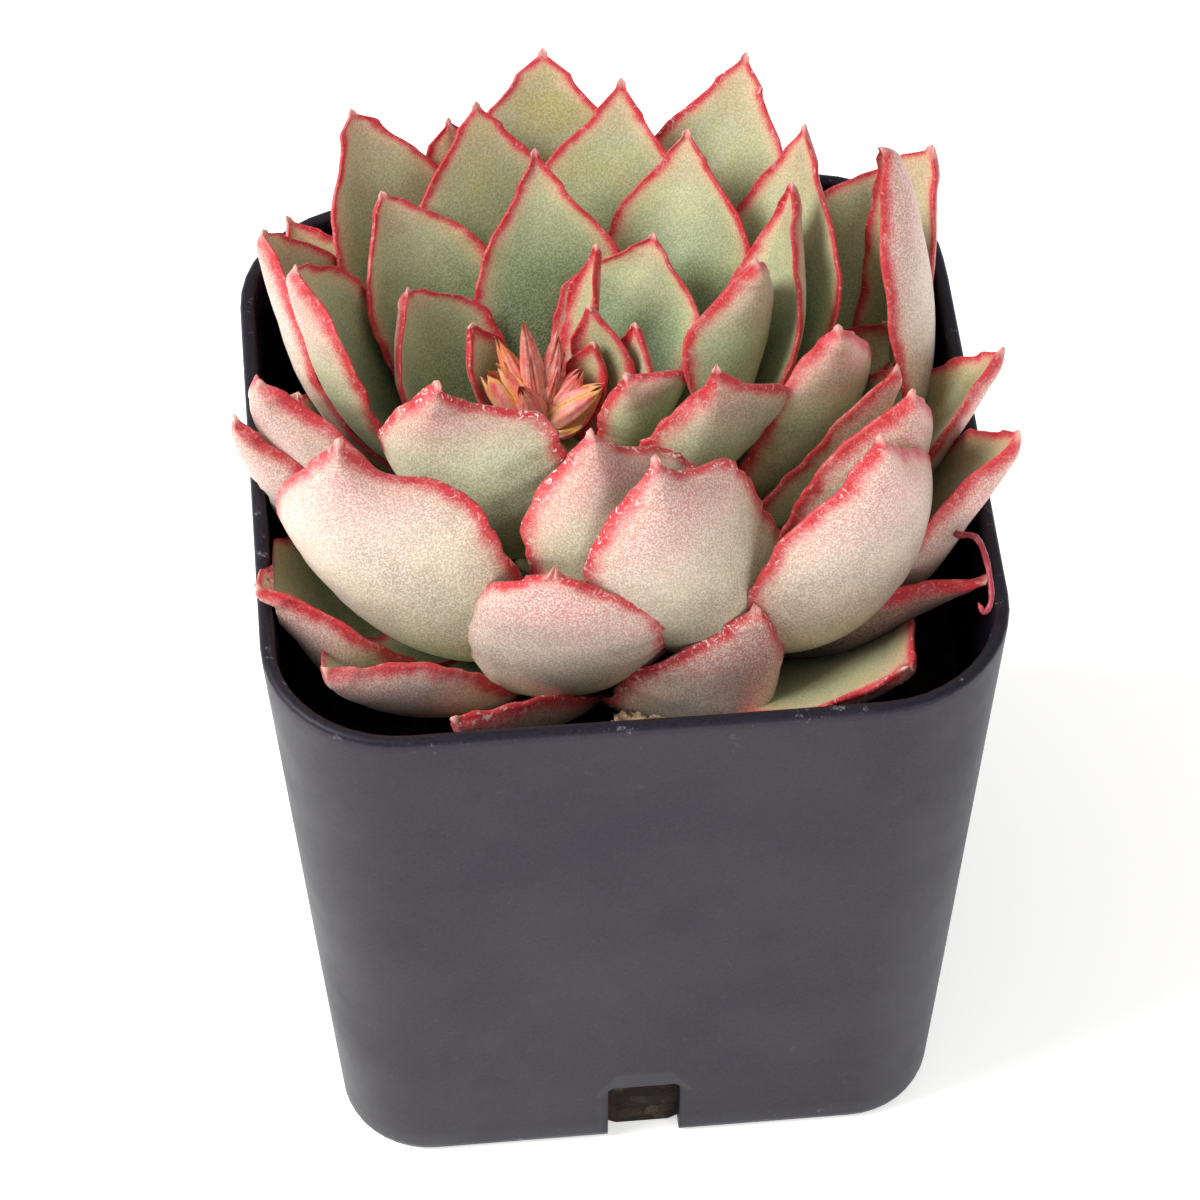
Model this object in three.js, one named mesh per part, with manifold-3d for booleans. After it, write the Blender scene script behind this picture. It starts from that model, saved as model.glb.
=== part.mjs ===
// A rosette succulent rooted in a small square nursery pot.
//
// Frame: millimetres, +Z up, +Y to the back. The origin is the centre of the pot's flat underside.
// Every leaf, bud, root, the stem, the soil and the pot is a closed body of its own. Where real
// leaves press on each other, the older leaf is cut clear of the younger one by a small gap.

import * as THREE from "three";
import { mergeVertices } from "three/addons/utils/BufferGeometryUtils.js";
import Module from "manifold-3d";

const wasm = await Module();
wasm.setup();

// ---- Driving dimensions ----

const GAP = 0.3; // clearance kept between neighbouring bodies

const POT_TOP = 57; // width across the flats at the rim, a 2 1/4 inch pot
const POT_BOTTOM = 49.4;
const POT_HEIGHT = 59.5;
const CORNER_TOP = 10.7; // plan radius of the corners at the rim
const CORNER_BOTTOM = 7.3;
const WALL = 1.1;
const FLOOR = 1.5;
const NOTCH_WIDTH = 6; // one drain notch at the foot of each side
const NOTCH_HEIGHT = 4;
const NOTCH_DEPTH = 4;

const SOIL_LEVEL = 44; // at the pot's wall
const SOIL_MOUND = 1.5; // how much higher it lies around the stem

const PLANT_X = -5; // the rosette grows a little left of the pot's centre
const PLANT_Y = 0.5;
const STEM_FOOT = 40;
const STEM_RADIUS = 4.4;
const STEM_TOP = 58;
const STALK_RADIUS = 1.5;
const STALK_TOP = 59.4;

const LEAF_START = 3; // a leaf's midrib leaves the stem this far from the axis
const LEAF_THICKNESS = 0.2; // share of the leaf's width
const LEAF_EDGE = 0.5; // thickness left at the margin
const LEAF_FOOT_WIDTH = 0.36; // width at the foot, as a share of the widest place
const POINT = 0.17; // the drawn-out point, as a share of the blade beyond its widest place
const POINT_WIDTH = 0.27; // width where that point begins, as a share of the widest place
const STATIONS = [0, 0.22, 0.44, 0.62, 0.77, 0.88, 0.94]; // along the midrib
const COLUMNS = [-1, -0.55, 0, 0.55, 1]; // across the blade

const CORNER_STEPS = 6;
const ROUND_STEPS = 20;

// The leaves, from the outside of the rosette to its heart. turn: compass angle of the tip about
// the stem, 0 to the right and 90 to the back. reach and height: where the tip is, out from the
// stem's axis and up from the pot's underside. foot: height where it leaves the stem. curl: how
// far the midrib turns upward along its length. roll: twist of the blade about its midrib. sway:
// sideways bend. cup: half the angle that the blade's cross section bends through. belly: how
// far the midrib runs on outward before it turns up. widest: where along the leaf it is widest.
const PLAIN = { curl: 40, roll: 0, sway: 0, cup: 30, belly: 0.36, widest: 0.62 };
const LEAVES = [
  { whorl: "outer", turn: 101, reach: 28, height: 68, foot: 48, width: 15, curl: 25, cup: 20 },
  { whorl: "outer", turn: 33, reach: 38.5, height: 68, foot: 46.5, width: 15, curl: 55, roll: -10,
    sway: 20, cup: 25, widest: 0.66 },
  { whorl: "outer", turn: 1, reach: 35, height: 66, foot: 48, width: 14, curl: 60, roll: -10 },
  { whorl: "outer", turn: 344, reach: 36, height: 68, foot: 47, width: 16, curl: 60, roll: -18, cup: 42 },
  { whorl: "outer", turn: 333, reach: 36, height: 59.5, foot: 46, width: 11, curl: 20, roll: -65 },
  { whorl: "outer", turn: 317, reach: 34, height: 57.5, foot: 45.5, width: 15, curl: 40, roll: 5,
    cup: 20, widest: 0.75 },
  { whorl: "outer", turn: 306, reach: 23, height: 61, foot: 45.5, width: 12.5, curl: 125, roll: -18,
    belly: 0.55 },
  { whorl: "outer", turn: 267, reach: 19, height: 67, foot: 46, width: 16, curl: 80, roll: -20,
    sway: -20, cup: 34, belly: 0.5, widest: 0.72 },
  { whorl: "outer", turn: 249, reach: 26, height: 56.5, foot: 45.5, width: 9, curl: 50, roll: 35,
    sway: -80 },
  { whorl: "outer", turn: 230, reach: 29, height: 61, foot: 46, width: 13, curl: 50, roll: 25,
    sway: -40, cup: 40 },
  { whorl: "outer", turn: 211, reach: 27, height: 61.5, foot: 46, width: 15, curl: 45, roll: 8, cup: 35 },
  { whorl: "outer", turn: 184, reach: 24, height: 67, foot: 47, width: 12, curl: 60, roll: 50, cup: 35 },
  { whorl: "outer", turn: 158, reach: 20, height: 59, foot: 46, width: 12, curl: 45, cup: 35 },
  { whorl: "outer", turn: 128, reach: 31, height: 61.5, foot: 46, width: 13.5, curl: 40, cup: 30 },
  { whorl: "outer", turn: 75, reach: 27, height: 60, foot: 46, width: 13.5, curl: 45, cup: 30 },
  { whorl: "outer", turn: 20, reach: 29, height: 60, foot: 46, width: 13, curl: 45, cup: 30 },

  { whorl: "middle", turn: 86, reach: 33, height: 70, foot: 49, width: 16.5, curl: 30, cup: 20 },
  { whorl: "middle", turn: 59, reach: 36, height: 70, foot: 49, width: 14.5, curl: 35, sway: 15, cup: 20 },
  { whorl: "middle", turn: 116, reach: 30.5, height: 70, foot: 49, width: 14, curl: 30, roll: 12,
    cup: 25 },
  { whorl: "middle", turn: 145, reach: 25.5, height: 70, foot: 49, width: 14, curl: 50, roll: 25,
    cup: 50 },
  { whorl: "middle", turn: 183, reach: 22, height: 70, foot: 49, width: 14, curl: 60, roll: 40, cup: 40 },
  { whorl: "middle", turn: 217, reach: 20.5, height: 75, foot: 48, width: 19, curl: 85, roll: 44,
    sway: -90, cup: 34, belly: 0.55, widest: 0.6 },
  { whorl: "middle", turn: 292, reach: 17.5, height: 75, foot: 46.5, width: 15.5, curl: 108, roll: -2,
    sway: -80, cup: 34, belly: 0.72, widest: 0.72 },
  { whorl: "middle", turn: 326, reach: 28, height: 75, foot: 48, width: 19, curl: 90, roll: -25,
    cup: 32, belly: 0.65, widest: 0.6 },
  { whorl: "middle", turn: 355, reach: 26.5, height: 68, foot: 50, width: 11, curl: 70, roll: -30,
    cup: 35 },
  { whorl: "middle", turn: 342, reach: 28, height: 72, foot: 51, width: 13, curl: 90, roll: -50,
    cup: 35, belly: 0.6 },
  { whorl: "middle", turn: 45, reach: 31.5, height: 70, foot: 50, width: 15, curl: 45, roll: -12,
    sway: 20 },
  { whorl: "middle", turn: 26, reach: 30, height: 76, foot: 54, width: 14.5, curl: 150, roll: -18,
    sway: 40, cup: 45, belly: 1.0 },
  { whorl: "middle", turn: 74, reach: 30, height: 70, foot: 51, width: 14, curl: 30, roll: -5,
    sway: 10, cup: 25 },
  { whorl: "middle", turn: 97, reach: 28, height: 69.5, foot: 51, width: 13.5, curl: 30, roll: 5,
    cup: 20 },

  { whorl: "inner", turn: 120, reach: 23, height: 68, foot: 52, width: 13, curl: 30, roll: 12 },
  { whorl: "inner", turn: 155, reach: 20.5, height: 72, foot: 52, width: 14, curl: 50, roll: 25, cup: 45 },
  { whorl: "inner", turn: 214, reach: 10.5, height: 73.5, foot: 53, width: 15, curl: 70, roll: 52,
    sway: -90, cup: 32, belly: 0.5, widest: 0.6 },
  { whorl: "inner", turn: 280, reach: 12.5, height: 74, foot: 49.5, width: 15, curl: 95, roll: 14,
    sway: -50, cup: 34, belly: 0.75, widest: 0.66 },
  { whorl: "inner", turn: 356, reach: 22, height: 72, foot: 53, width: 11.5, curl: 90, roll: -75,
    cup: 35, belly: 0.6 },
  { whorl: "inner", turn: 61, reach: 27, height: 69, foot: 52, width: 13, roll: -8, sway: 25, cup: 28 },
  { whorl: "inner", turn: 38, reach: 26, height: 70, foot: 53, width: 12, curl: 60, roll: -22,
    sway: 40, cup: 35 },
  { whorl: "inner", turn: 335, reach: 13.5, height: 73, foot: 54, width: 11.5, curl: 60, roll: -70,
    cup: 22, widest: 0.6 },
  { whorl: "inner", turn: 88, reach: 21, height: 70.5, foot: 54, width: 13, curl: 30, roll: 5, cup: 25,
    widest: 0.44 },
  { whorl: "inner", turn: 20, reach: 17.5, height: 72, foot: 54, width: 14, curl: 70, roll: -70,
    sway: 30, cup: 35 },
  { whorl: "inner", turn: 132, reach: 15, height: 66, foot: 55, width: 12.5, roll: 12, cup: 35 },
  { whorl: "inner", turn: 58, reach: 18, height: 66, foot: 55, width: 12.5, roll: -5, sway: 20 },

  { whorl: "heart", turn: 68, reach: 12.5, height: 69, foot: 57, width: 3.2, curl: 30, roll: -45,
    sway: -10, cup: 45 },
  { whorl: "heart", turn: 59, reach: 7, height: 68, foot: 57.5, width: 5.5, curl: 25, sway: 110 },
  { whorl: "heart", turn: 34, reach: 8.5, height: 67, foot: 57.5, width: 6, curl: 25, sway: 50 },
  { whorl: "heart", turn: 347, reach: 6, height: 68, foot: 57, width: 7.8, curl: 70, roll: -82,
    sway: -50, belly: 0.5 },
  { whorl: "heart", turn: 132, reach: 8, height: 67, foot: 57.5, width: 4.5, curl: 25, roll: 10 },
  { whorl: "heart", turn: 47, reach: 5.5, height: 66, foot: 58, width: 3.5, curl: 25 },
];

// One shrivelled leaf lies between the living ones and the front wall.
const DRIED = {
  turn: 281, reach: 26.5, height: 55.6, foot: 50, width: 4, curl: 30, start: 20, widest: 0.8,
};

// The buds at the heart all spring from the top of the stalk. tip: where each one points to.
// start: how far along that line it begins. girth: its thickness.
const HEART = [-5.4, 2, 59.4];
const BUDS = [
  { tip: [-6.6, 5.4, 68.5], start: 0.1, girth: 1.9 },
  { tip: [-8.6, 6.2, 66], start: 0.2, girth: 1.9 },
  { tip: [-3.7, 5.7, 67], start: 0.2, girth: 2 },
  { tip: [-9.4, 4.1, 64.5], start: 0.25, girth: 3 },
  { tip: [-7.2, 1.4, 65.2], start: 0.15, girth: 2.2 },
  { tip: [-0.6, 2, 64], start: 0.1, girth: 3 },
  { tip: [-2.1, 3.6, 64.5], start: 0.2, girth: 2.2 },
];

// A thin aerial root hangs from the right-hand leaves and curls at its end.
const ROOT_RADIUS = 0.25;
const ROOT_ROUTE = [
  [25, -12.6, 60.4],
  [26.2, -14.4, 61.9],
  [26.6, -17.2, 62.2],
  [26.6, -19.8, 61.2],
  [26, -20.6, 60.5],
  [25.6, -19.9, 60.9],
];

// ---- Colours, roughness ----

const LOOKS = {
  leaf: { color: 0x9db08a, roughness: 0.6 },
  heart: { color: 0xb5604f, roughness: 0.55 },
  dried: { color: 0xc9b596, roughness: 0.9 },
  bud: { color: 0xe0705a, roughness: 0.5 },
  root: { color: 0xb04a55, roughness: 0.6 },
  stem: { color: 0x7e8a5e, roughness: 0.7 },
  soil: { color: 0x2c211a, roughness: 1 },
  pot: { color: 0x35353a, roughness: 0.55 },
};

// ---- Solids ----

const radians = THREE.MathUtils.degToRad;

/** Unit vector that points to a compass angle, raised above level. */
function direction(turn, rise) {
  const flat = Math.cos(radians(rise));
  return new THREE.Vector3(
    flat * Math.cos(radians(turn)),
    flat * Math.sin(radians(turn)),
    Math.sin(radians(rise)),
  );
}

/** A buffer geometry from points and triangles. */
function geometryOf(points, triangles) {
  const geometry = new THREE.BufferGeometry();
  geometry.setAttribute("position", new THREE.Float32BufferAttribute(points.flat(), 3));
  geometry.setIndex(triangles.flat());
  return geometry;
}

/** A closed skin over rings of equal count. Each end is closed to the point given for it. */
function loft(rings, startPoint, endPoint) {
  const count = rings[0].length;
  const points = rings.flat();
  const triangles = [];
  for (let ring = 0; ring < rings.length - 1; ring += 1) {
    for (let k = 0; k < count; k += 1) {
      const next = (k + 1) % count;
      const low = ring * count;
      const high = low + count;
      triangles.push([low + k, low + next, high + next]);
      triangles.push([low + k, high + next, high + k]);
    }
  }
  const start = points.length;
  const end = start + 1;
  const last = (rings.length - 1) * count;
  points.push(startPoint, endPoint);
  for (let k = 0; k < count; k += 1) {
    const next = (k + 1) % count;
    triangles.push([start, next, k]);
    triangles.push([end, last + k, last + next]);
  }
  return geometryOf(points, triangles);
}

/** A manifold solid from a closed geometry. */
function solidOf(geometry) {
  const bare = geometry.clone();
  bare.deleteAttribute("normal");
  bare.deleteAttribute("uv");
  const merged = mergeVertices(bare, 1e-4);
  const mesh = new wasm.Mesh({
    numProp: 3,
    vertProperties: new Float32Array(merged.attributes.position.array),
    triVerts: new Uint32Array(merged.index.array),
  });
  return new wasm.Manifold(mesh);
}

/** A flat-shaded geometry from a manifold solid. */
function geometryFrom(solid) {
  const mesh = solid.getMesh();
  const geometry = new THREE.BufferGeometry();
  geometry.setAttribute("position", new THREE.BufferAttribute(mesh.vertProperties, 3));
  geometry.setIndex(new THREE.BufferAttribute(mesh.triVerts, 1));
  geometry.computeVertexNormals();
  return geometry;
}

/** The largest of the separate bodies that a cut leaves. */
function largestBody(solid) {
  const bodies = solid.decompose();
  return bodies.reduce((best, body) => (body.volume() > best.volume() ? body : best));
}

/** Whether two solids' bounding boxes meet. */
function boxesMeet(one, other) {
  const a = one.boundingBox();
  const b = other.boundingBox();
  return [0, 1, 2].every((axis) => a.min[axis] < b.max[axis] && b.min[axis] < a.max[axis]);
}

// ---- Leaf ----

/** Half the blade's width at u along the leaf, as a share of its widest place. */
function outline(u, widest) {
  if (u < widest) {
    const swell = Math.sin((Math.PI / 2) * (u / widest)) ** 1.3;
    return LEAF_FOOT_WIDTH + (1 - LEAF_FOOT_WIDTH) * swell;
  }
  const past = (u - widest) / (1 - widest);
  const blunt = 1 - Math.min(past / (1 - POINT), 1) ** 2.6;
  const drawnOut = POINT_WIDTH * Math.min((1 - past) / POINT, 1) ** 1.2;
  return Math.hypot(blunt, drawnOut) / Math.hypot(1, POINT_WIDTH);
}

/** The midrib: out from the stem, then curling up to the tip. */
function midrib(leaf) {
  const start = direction(leaf.turn, 0).multiplyScalar(leaf.start ?? LEAF_START);
  const tip = direction(leaf.turn, 0).multiplyScalar(leaf.reach);
  start.add(new THREE.Vector3(PLANT_X, PLANT_Y, leaf.foot));
  tip.add(new THREE.Vector3(PLANT_X, PLANT_Y, leaf.height));
  const chord = tip.clone().sub(start);
  const length = chord.length();
  const rise = THREE.MathUtils.radToDeg(Math.asin(chord.z / length));
  const outward = direction(leaf.turn - leaf.sway / 2, rise - leaf.curl / 2);
  const upward = direction(leaf.turn + leaf.sway / 2, rise + leaf.curl / 2);
  const startHandle = outward.multiplyScalar(length * leaf.belly).add(start);
  const tipHandle = upward.multiplyScalar(-length * PLAIN.belly).add(tip);
  return new THREE.CubicBezierCurve3(start, startHandle, tipHandle, tip);
}

/** One fleshy leaf, grown outward on every side by the margin given. */
function leafSolid(row, margin = 0) {
  const leaf = { ...PLAIN, ...row };
  const curve = midrib(leaf);
  const rings = STATIONS.map((u) => {
    const along = curve.getTangent(u);
    const normal = along.clone().cross(direction(leaf.turn + 90, 0)).normalize();
    const side = normal.clone().cross(along);
    const twist = radians(leaf.roll) * u ** 0.8;
    const across = side.clone().multiplyScalar(Math.cos(twist)).addScaledVector(normal, Math.sin(twist));
    const face = normal.clone().multiplyScalar(Math.cos(twist)).addScaledVector(side, -Math.sin(twist));
    const centre = curve.getPoint(u);
    const half = (leaf.width / 2) * outline(u, leaf.widest) + margin;
    const bend = radians(leaf.cup) * Math.min(0.35 + 0.9 * u, 1.15);
    const swell = 0.55 + 0.45 * Math.sin(Math.PI * Math.min(u / 0.8, 1));
    const thick = LEAF_THICKNESS * leaf.width * swell * Math.sqrt(outline(u, leaf.widest));
    const point = (v, depth) => {
      const sideways = (half * Math.sin(bend * v)) / bend;
      const lift = (half * (1 - Math.cos(bend * v))) / bend - depth;
      return centre.clone().addScaledVector(across, sideways).addScaledVector(face, lift).toArray();
    };
    const upper = COLUMNS.map((v) => point(v, -margin));
    const lower = COLUMNS.map((v) => point(v, LEAF_EDGE + thick * (1 - Math.abs(v) ** 2.3) + margin));
    return [...lower, ...upper.reverse()];
  });
  const tip = curve.getPoint(1).addScaledVector(curve.getTangent(1), margin);
  return solidOf(loft(rings, curve.getPoint(0).toArray(), tip.toArray()));
}

// ---- Bud ----

/** One pointed bud, a spindle that leans out from the stalk. */
function budSolid(bud, margin = 0) {
  const tip = new THREE.Vector3(...bud.tip);
  const base = new THREE.Vector3(...HEART).lerp(tip, bud.start);
  const along = tip.clone().sub(base);
  const length = along.length();
  const half = bud.girth / 2 + margin;
  const profile = [
    new THREE.Vector2(0, -margin),
    new THREE.Vector2(half * 0.55, -margin),
    new THREE.Vector2(half, length * 0.35),
    new THREE.Vector2(half * 0.75, length * 0.7),
    new THREE.Vector2(0, length + margin),
  ];
  const geometry = new THREE.LatheGeometry(profile, 8);
  const up = new THREE.Vector3(0, 1, 0);
  geometry.applyQuaternion(new THREE.Quaternion().setFromUnitVectors(up, along.normalize()));
  geometry.translate(...base.toArray());
  return solidOf(geometry);
}

// ---- Stem ----

/** The short stem and the flower stalk on it, turned about the plant's axis. */
function stemSolid(margin = 0) {
  const profile = [
    [0, STEM_FOOT - margin],
    [STEM_RADIUS + margin, STEM_FOOT - margin],
    [STEM_RADIUS * 0.95 + margin, STEM_TOP - 6],
    [STEM_RADIUS * 0.6 + margin, STEM_TOP],
    [STALK_RADIUS + margin, STEM_TOP + 1],
    [STALK_RADIUS * 0.8 + margin, STALK_TOP + margin],
    [0, STALK_TOP + margin],
  ];
  const geometry = new THREE.LatheGeometry(profile.map(([x, y]) => new THREE.Vector2(x, y)), ROUND_STEPS);
  geometry.rotateX(Math.PI / 2);
  geometry.translate(PLANT_X, PLANT_Y, 0);
  return solidOf(geometry);
}

// ---- Pot and soil ----

/** A level ring around a rounded square. */
function squareRing(width, corner, height) {
  const ring = [];
  const reach = width / 2 - corner;
  for (let quarter = 0; quarter < 4; quarter += 1) {
    const middle = direction(45 + 90 * quarter, 0).multiplyScalar(reach * Math.SQRT2);
    for (let step = 0; step <= CORNER_STEPS; step += 1) {
      const spoke = direction(90 * (quarter + step / CORNER_STEPS), 0).multiplyScalar(corner);
      ring.push([middle.x + spoke.x, middle.y + spoke.y, height]);
    }
  }
  return ring;
}

/** The ring that lies a distance inside the pot's outer face at a height. */
function potRing(height, inside) {
  const share = height / POT_HEIGHT;
  const width = THREE.MathUtils.lerp(POT_BOTTOM, POT_TOP, share);
  const corner = THREE.MathUtils.lerp(CORNER_BOTTOM, CORNER_TOP, share);
  return squareRing(width - 2 * inside, corner - inside, height);
}

/** The pot: tapered walls and a floor, with a drain notch cut in the foot of each side. */
function potSolid(margin = 0) {
  const skin = loft(
    [
      potRing(0, -margin),
      potRing(POT_HEIGHT, -margin).map(([x, y, z]) => [x, y, z + margin]),
      potRing(POT_HEIGHT, WALL + margin).map(([x, y, z]) => [x, y, z + margin]),
      potRing(FLOOR, WALL + margin),
    ],
    [0, 0, 0],
    [0, 0, FLOOR],
  );
  return solidOf(skin);
}

/** The pot with its four drain notches. */
function notchedPot() {
  let pot = potSolid();
  for (let side = 0; side < 4; side += 1) {
    const notch = new THREE.BoxGeometry(NOTCH_WIDTH, 2 * NOTCH_DEPTH, 2 * NOTCH_HEIGHT);
    notch.translate(0, -POT_BOTTOM / 2, 0);
    notch.rotateZ((side * Math.PI) / 2);
    pot = pot.subtract(solidOf(notch));
  }
  return pot;
}

/** The soil: fills the pot to below the leaves, with a low mound at the stem. */
function soilSolid(margin = 0) {
  const bed = loft(
    [potRing(FLOOR + GAP, WALL + GAP), potRing(SOIL_LEVEL + margin, WALL + GAP)],
    [0, 0, FLOOR + GAP],
    [PLANT_X, PLANT_Y, SOIL_LEVEL + SOIL_MOUND + margin],
  );
  return solidOf(bed);
}

// ---- Aerial root ----

/** A thin tube along the root's route. */
function rootSolid(margin = 0) {
  const route = new THREE.CatmullRomCurve3(ROOT_ROUTE.map((point) => new THREE.Vector3(...point)));
  const section = new THREE.Shape();
  section.absarc(0, 0, ROOT_RADIUS + margin, 0, 2 * Math.PI);
  const sweep = { steps: 10, curveSegments: 3, bevelEnabled: false, extrudePath: route };
  return solidOf(new THREE.ExtrudeGeometry(section, sweep));
}

// ---- Assembly ----

const object = new THREE.Group();

/** Add one named body with its own material. */
function place(name, solid, look) {
  const material = new THREE.MeshStandardMaterial({ ...LOOKS[look], metalness: 0 });
  const mesh = new THREE.Mesh(geometryFrom(solid), material);
  mesh.name = name;
  object.add(mesh);
}

const stem = stemSolid();
place("pot", notchedPot(), "pot");
place("soil", soilSolid().subtract(stemSolid(GAP)), "soil");
place("stem", stem, "stem");

// Everything that grows is cut clear of what is already there: first the fixed bodies, then each
// younger neighbour. A neighbour that only comes near, without touching, cuts nothing.
const standing = [
  { solid: potSolid(), cutter: potSolid(GAP) },
  { solid: soilSolid(), cutter: soilSolid(GAP) },
  { solid: stem, cutter: stemSolid(GAP) },
];

/** Cut one growing body clear of the others, add it, and let it cut those that follow. */
function grow(name, solid, cutter, look) {
  const touching = standing.filter(
    (other) => boxesMeet(solid, other.solid) && solid.intersect(other.solid).volume() > 0,
  );
  const cleared = touching.reduce((rest, other) => rest.subtract(other.cutter), solid);
  place(name, largestBody(cleared), look);
  standing.push({ solid, cutter });
}

BUDS.forEach((bud, index) => {
  grow(`bud_${index + 1}`, budSolid(bud), budSolid(bud, GAP), "bud");
});

const counts = {};
const named = LEAVES.map((leaf) => {
  counts[leaf.whorl] = (counts[leaf.whorl] ?? 0) + 1;
  return { name: `${leaf.whorl}_leaf_${counts[leaf.whorl]}`, ...leaf };
});
named.sort((one, other) => other.foot - one.foot);
named.forEach((leaf) => {
  grow(leaf.name, leafSolid(leaf), leafSolid(leaf, GAP), leaf.whorl === "heart" ? "heart" : "leaf");
});
grow("aerial_root", rootSolid(), rootSolid(GAP), "root");
grow("dried_leaf", leafSolid(DRIED), leafSolid(DRIED, GAP), "dried");

export default object;
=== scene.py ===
"""A rosette succulent in a small square nursery pot, built in detail around its solid model."""

import math

import bpy
import numpy as np
from mathutils import Matrix, Vector
from mathutils.bvhtree import BVHTree


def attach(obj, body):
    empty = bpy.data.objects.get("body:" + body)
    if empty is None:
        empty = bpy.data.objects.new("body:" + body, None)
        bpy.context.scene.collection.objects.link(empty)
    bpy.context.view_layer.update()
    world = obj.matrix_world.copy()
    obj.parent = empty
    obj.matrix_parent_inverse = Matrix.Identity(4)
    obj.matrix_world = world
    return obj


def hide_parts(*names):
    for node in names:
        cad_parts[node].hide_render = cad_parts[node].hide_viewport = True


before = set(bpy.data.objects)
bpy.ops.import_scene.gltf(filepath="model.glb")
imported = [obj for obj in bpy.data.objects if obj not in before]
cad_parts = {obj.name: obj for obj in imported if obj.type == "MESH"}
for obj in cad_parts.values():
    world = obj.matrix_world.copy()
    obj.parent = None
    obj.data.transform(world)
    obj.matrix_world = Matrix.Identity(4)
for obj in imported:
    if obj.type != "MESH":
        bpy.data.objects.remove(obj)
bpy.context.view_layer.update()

bl_info = {
    "name": "Potted Rosette Succulent",
    "version": (1, 0, 0),
    "blender": (4, 5, 0),
    "location": "3D View > Sidebar > Succulent",
    "description": "Builds a potted rosette succulent, leaf by leaf, around its solid model",
    "category": "Object",
}

MM = 0.001
SEED = 41

# ---- Sizes shared with the solid model, in millimetres ----

POT_TOP = 57
POT_BOTTOM = 49.4
POT_HEIGHT = 59.5
CORNER_TOP = 10.7
CORNER_BOTTOM = 7.3
NOTCH_WIDTH = 6
NOTCH_HEIGHT = 8  # the cut as it is seen, 4 mm taller than in the CAD pot
NOTCH_DEPTH = 4
SOIL_LEVEL = 44
SOIL_MOUND = 1.5
SOIL_BOTTOM = 1.6
SOIL_GAP = 0.3  # between the potting mix and the pot's wall
STEM_BOTTOM = 40
STEM_TOP = 59.2
PLANT = np.array([-5.0, 0.5, 0.0])
LEAF_START = 3
LEAF_FOOT_WIDTH = 0.36
POINT_WIDTH = 0.27
PRESS_REACH = 4.5  # how deep inside an older leaf a younger one is still found
PRESS_GAP = 0.15
PRESS_MOST = 3.2
WALL_GAP = 0.35
HEART = np.array([-5.4, 2.0, 59.4])

# The leaves, from the outside of the rosette to its heart. turn: compass angle of the tip about
# the stem, 0 to the right and 90 to the back. reach and height: where the tip is, out from the
# stem's axis and up from the pot's underside. foot: height where it leaves the stem. curl: how
# far the midrib turns upward along its length. roll: twist of the blade about its midrib. sway:
# sideways bend. cup: half the angle that the blade's cross section bends through. belly: how
# far the midrib runs on outward before it turns up. widest: where along the leaf it is widest.
# skew: how much later the blade's left edge is widest than its right. lean: how much wider the
# blade is on its left than on its right. peak: how long its drawn-out point is. ruffle: height of
# the waves in the margin, in millimetres. blush, age, tan_and_shade, scar and cream: how pink, how
# olive, how browned, how scuffed and how pale outside. The browning is also painted shade on a
# leaf that lies in the shadow of others.
PLAIN = {
    "curl": 40, "roll": 0, "sway": 0, "cup": 30, "belly": 0.36, "widest": 0.62, "start": LEAF_START,
    "skew": 0, "lean": 0, "peak": 0.5, "ruffle": 0.12, "blush": 0.45, "age": 0.3, "tan_and_shade": 0, "scar": 0.25,
}
OUTER = [
    dict(turn=101, reach=28, height=68, foot=48, width=15, curl=25, cup=20, peak=0.4, age=0.6),
    dict(turn=33, reach=38.5, height=68, foot=46.5, width=15, curl=55, roll=-10, sway=20, cup=25,
         widest=0.66, lean=0.15, peak=0.4, blush=0.5),
    dict(turn=1, reach=35, height=66, foot=48, width=14, curl=60, roll=-10, blush=0.7, age=1.8),
    dict(turn=344, reach=36, height=68, foot=47, width=16, curl=60, roll=-18, cup=42, blush=0.7, age=1.6),
    # This low leaf lies in the shade of the leaves above it. Its full brown and bare, unwaxed skin are
    # painted shade.
    dict(turn=333, reach=36, height=59.5, foot=46, width=11, curl=20, roll=-65, blush=1, tan_and_shade=1, cream=0),
    dict(turn=317, reach=34, height=57.5, foot=45.5, width=15, roll=5, cup=20, widest=0.75,
         peak=0.35, ruffle=0.2, blush=0.9, tan_and_shade=0.05, scar=0.5),
    dict(turn=306, reach=23, height=61, foot=45.5, width=12.5, curl=125, roll=-18, belly=0.55,
         lean=-0.5, peak=0.3, ruffle=0.22, blush=0.8, scar=1),
    dict(turn=267, reach=19, height=67, foot=46, width=16, curl=80, roll=-20, sway=-20, cup=34,
         belly=0.5, widest=0.72, peak=0.35, ruffle=0.3, blush=0.5, scar=0.5),
    dict(turn=249, reach=26, height=56.5, foot=45.5, width=9, curl=50, roll=35, sway=-80, blush=1,
         tan_and_shade=0.5, scar=0.6, cream=0.2),
    dict(turn=230, reach=29, height=61, foot=46, width=13, curl=50, roll=25, sway=-40, cup=40, blush=0.6),
    dict(turn=211, reach=27, height=61.5, foot=46, width=15, curl=45, roll=8, cup=35, age=0.6),
    dict(turn=184, reach=24, height=67, foot=47, width=12, curl=60, roll=50, cup=35),
    dict(turn=158, reach=20, height=59, foot=46, width=12, curl=45, cup=35),
    dict(turn=128, reach=31, height=61.5, foot=46, width=13.5),
    dict(turn=75, reach=27, height=60, foot=46, width=13.5, curl=45),
    dict(turn=20, reach=29, height=60, foot=46, width=13, curl=45, blush=0.6),
]
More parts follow.
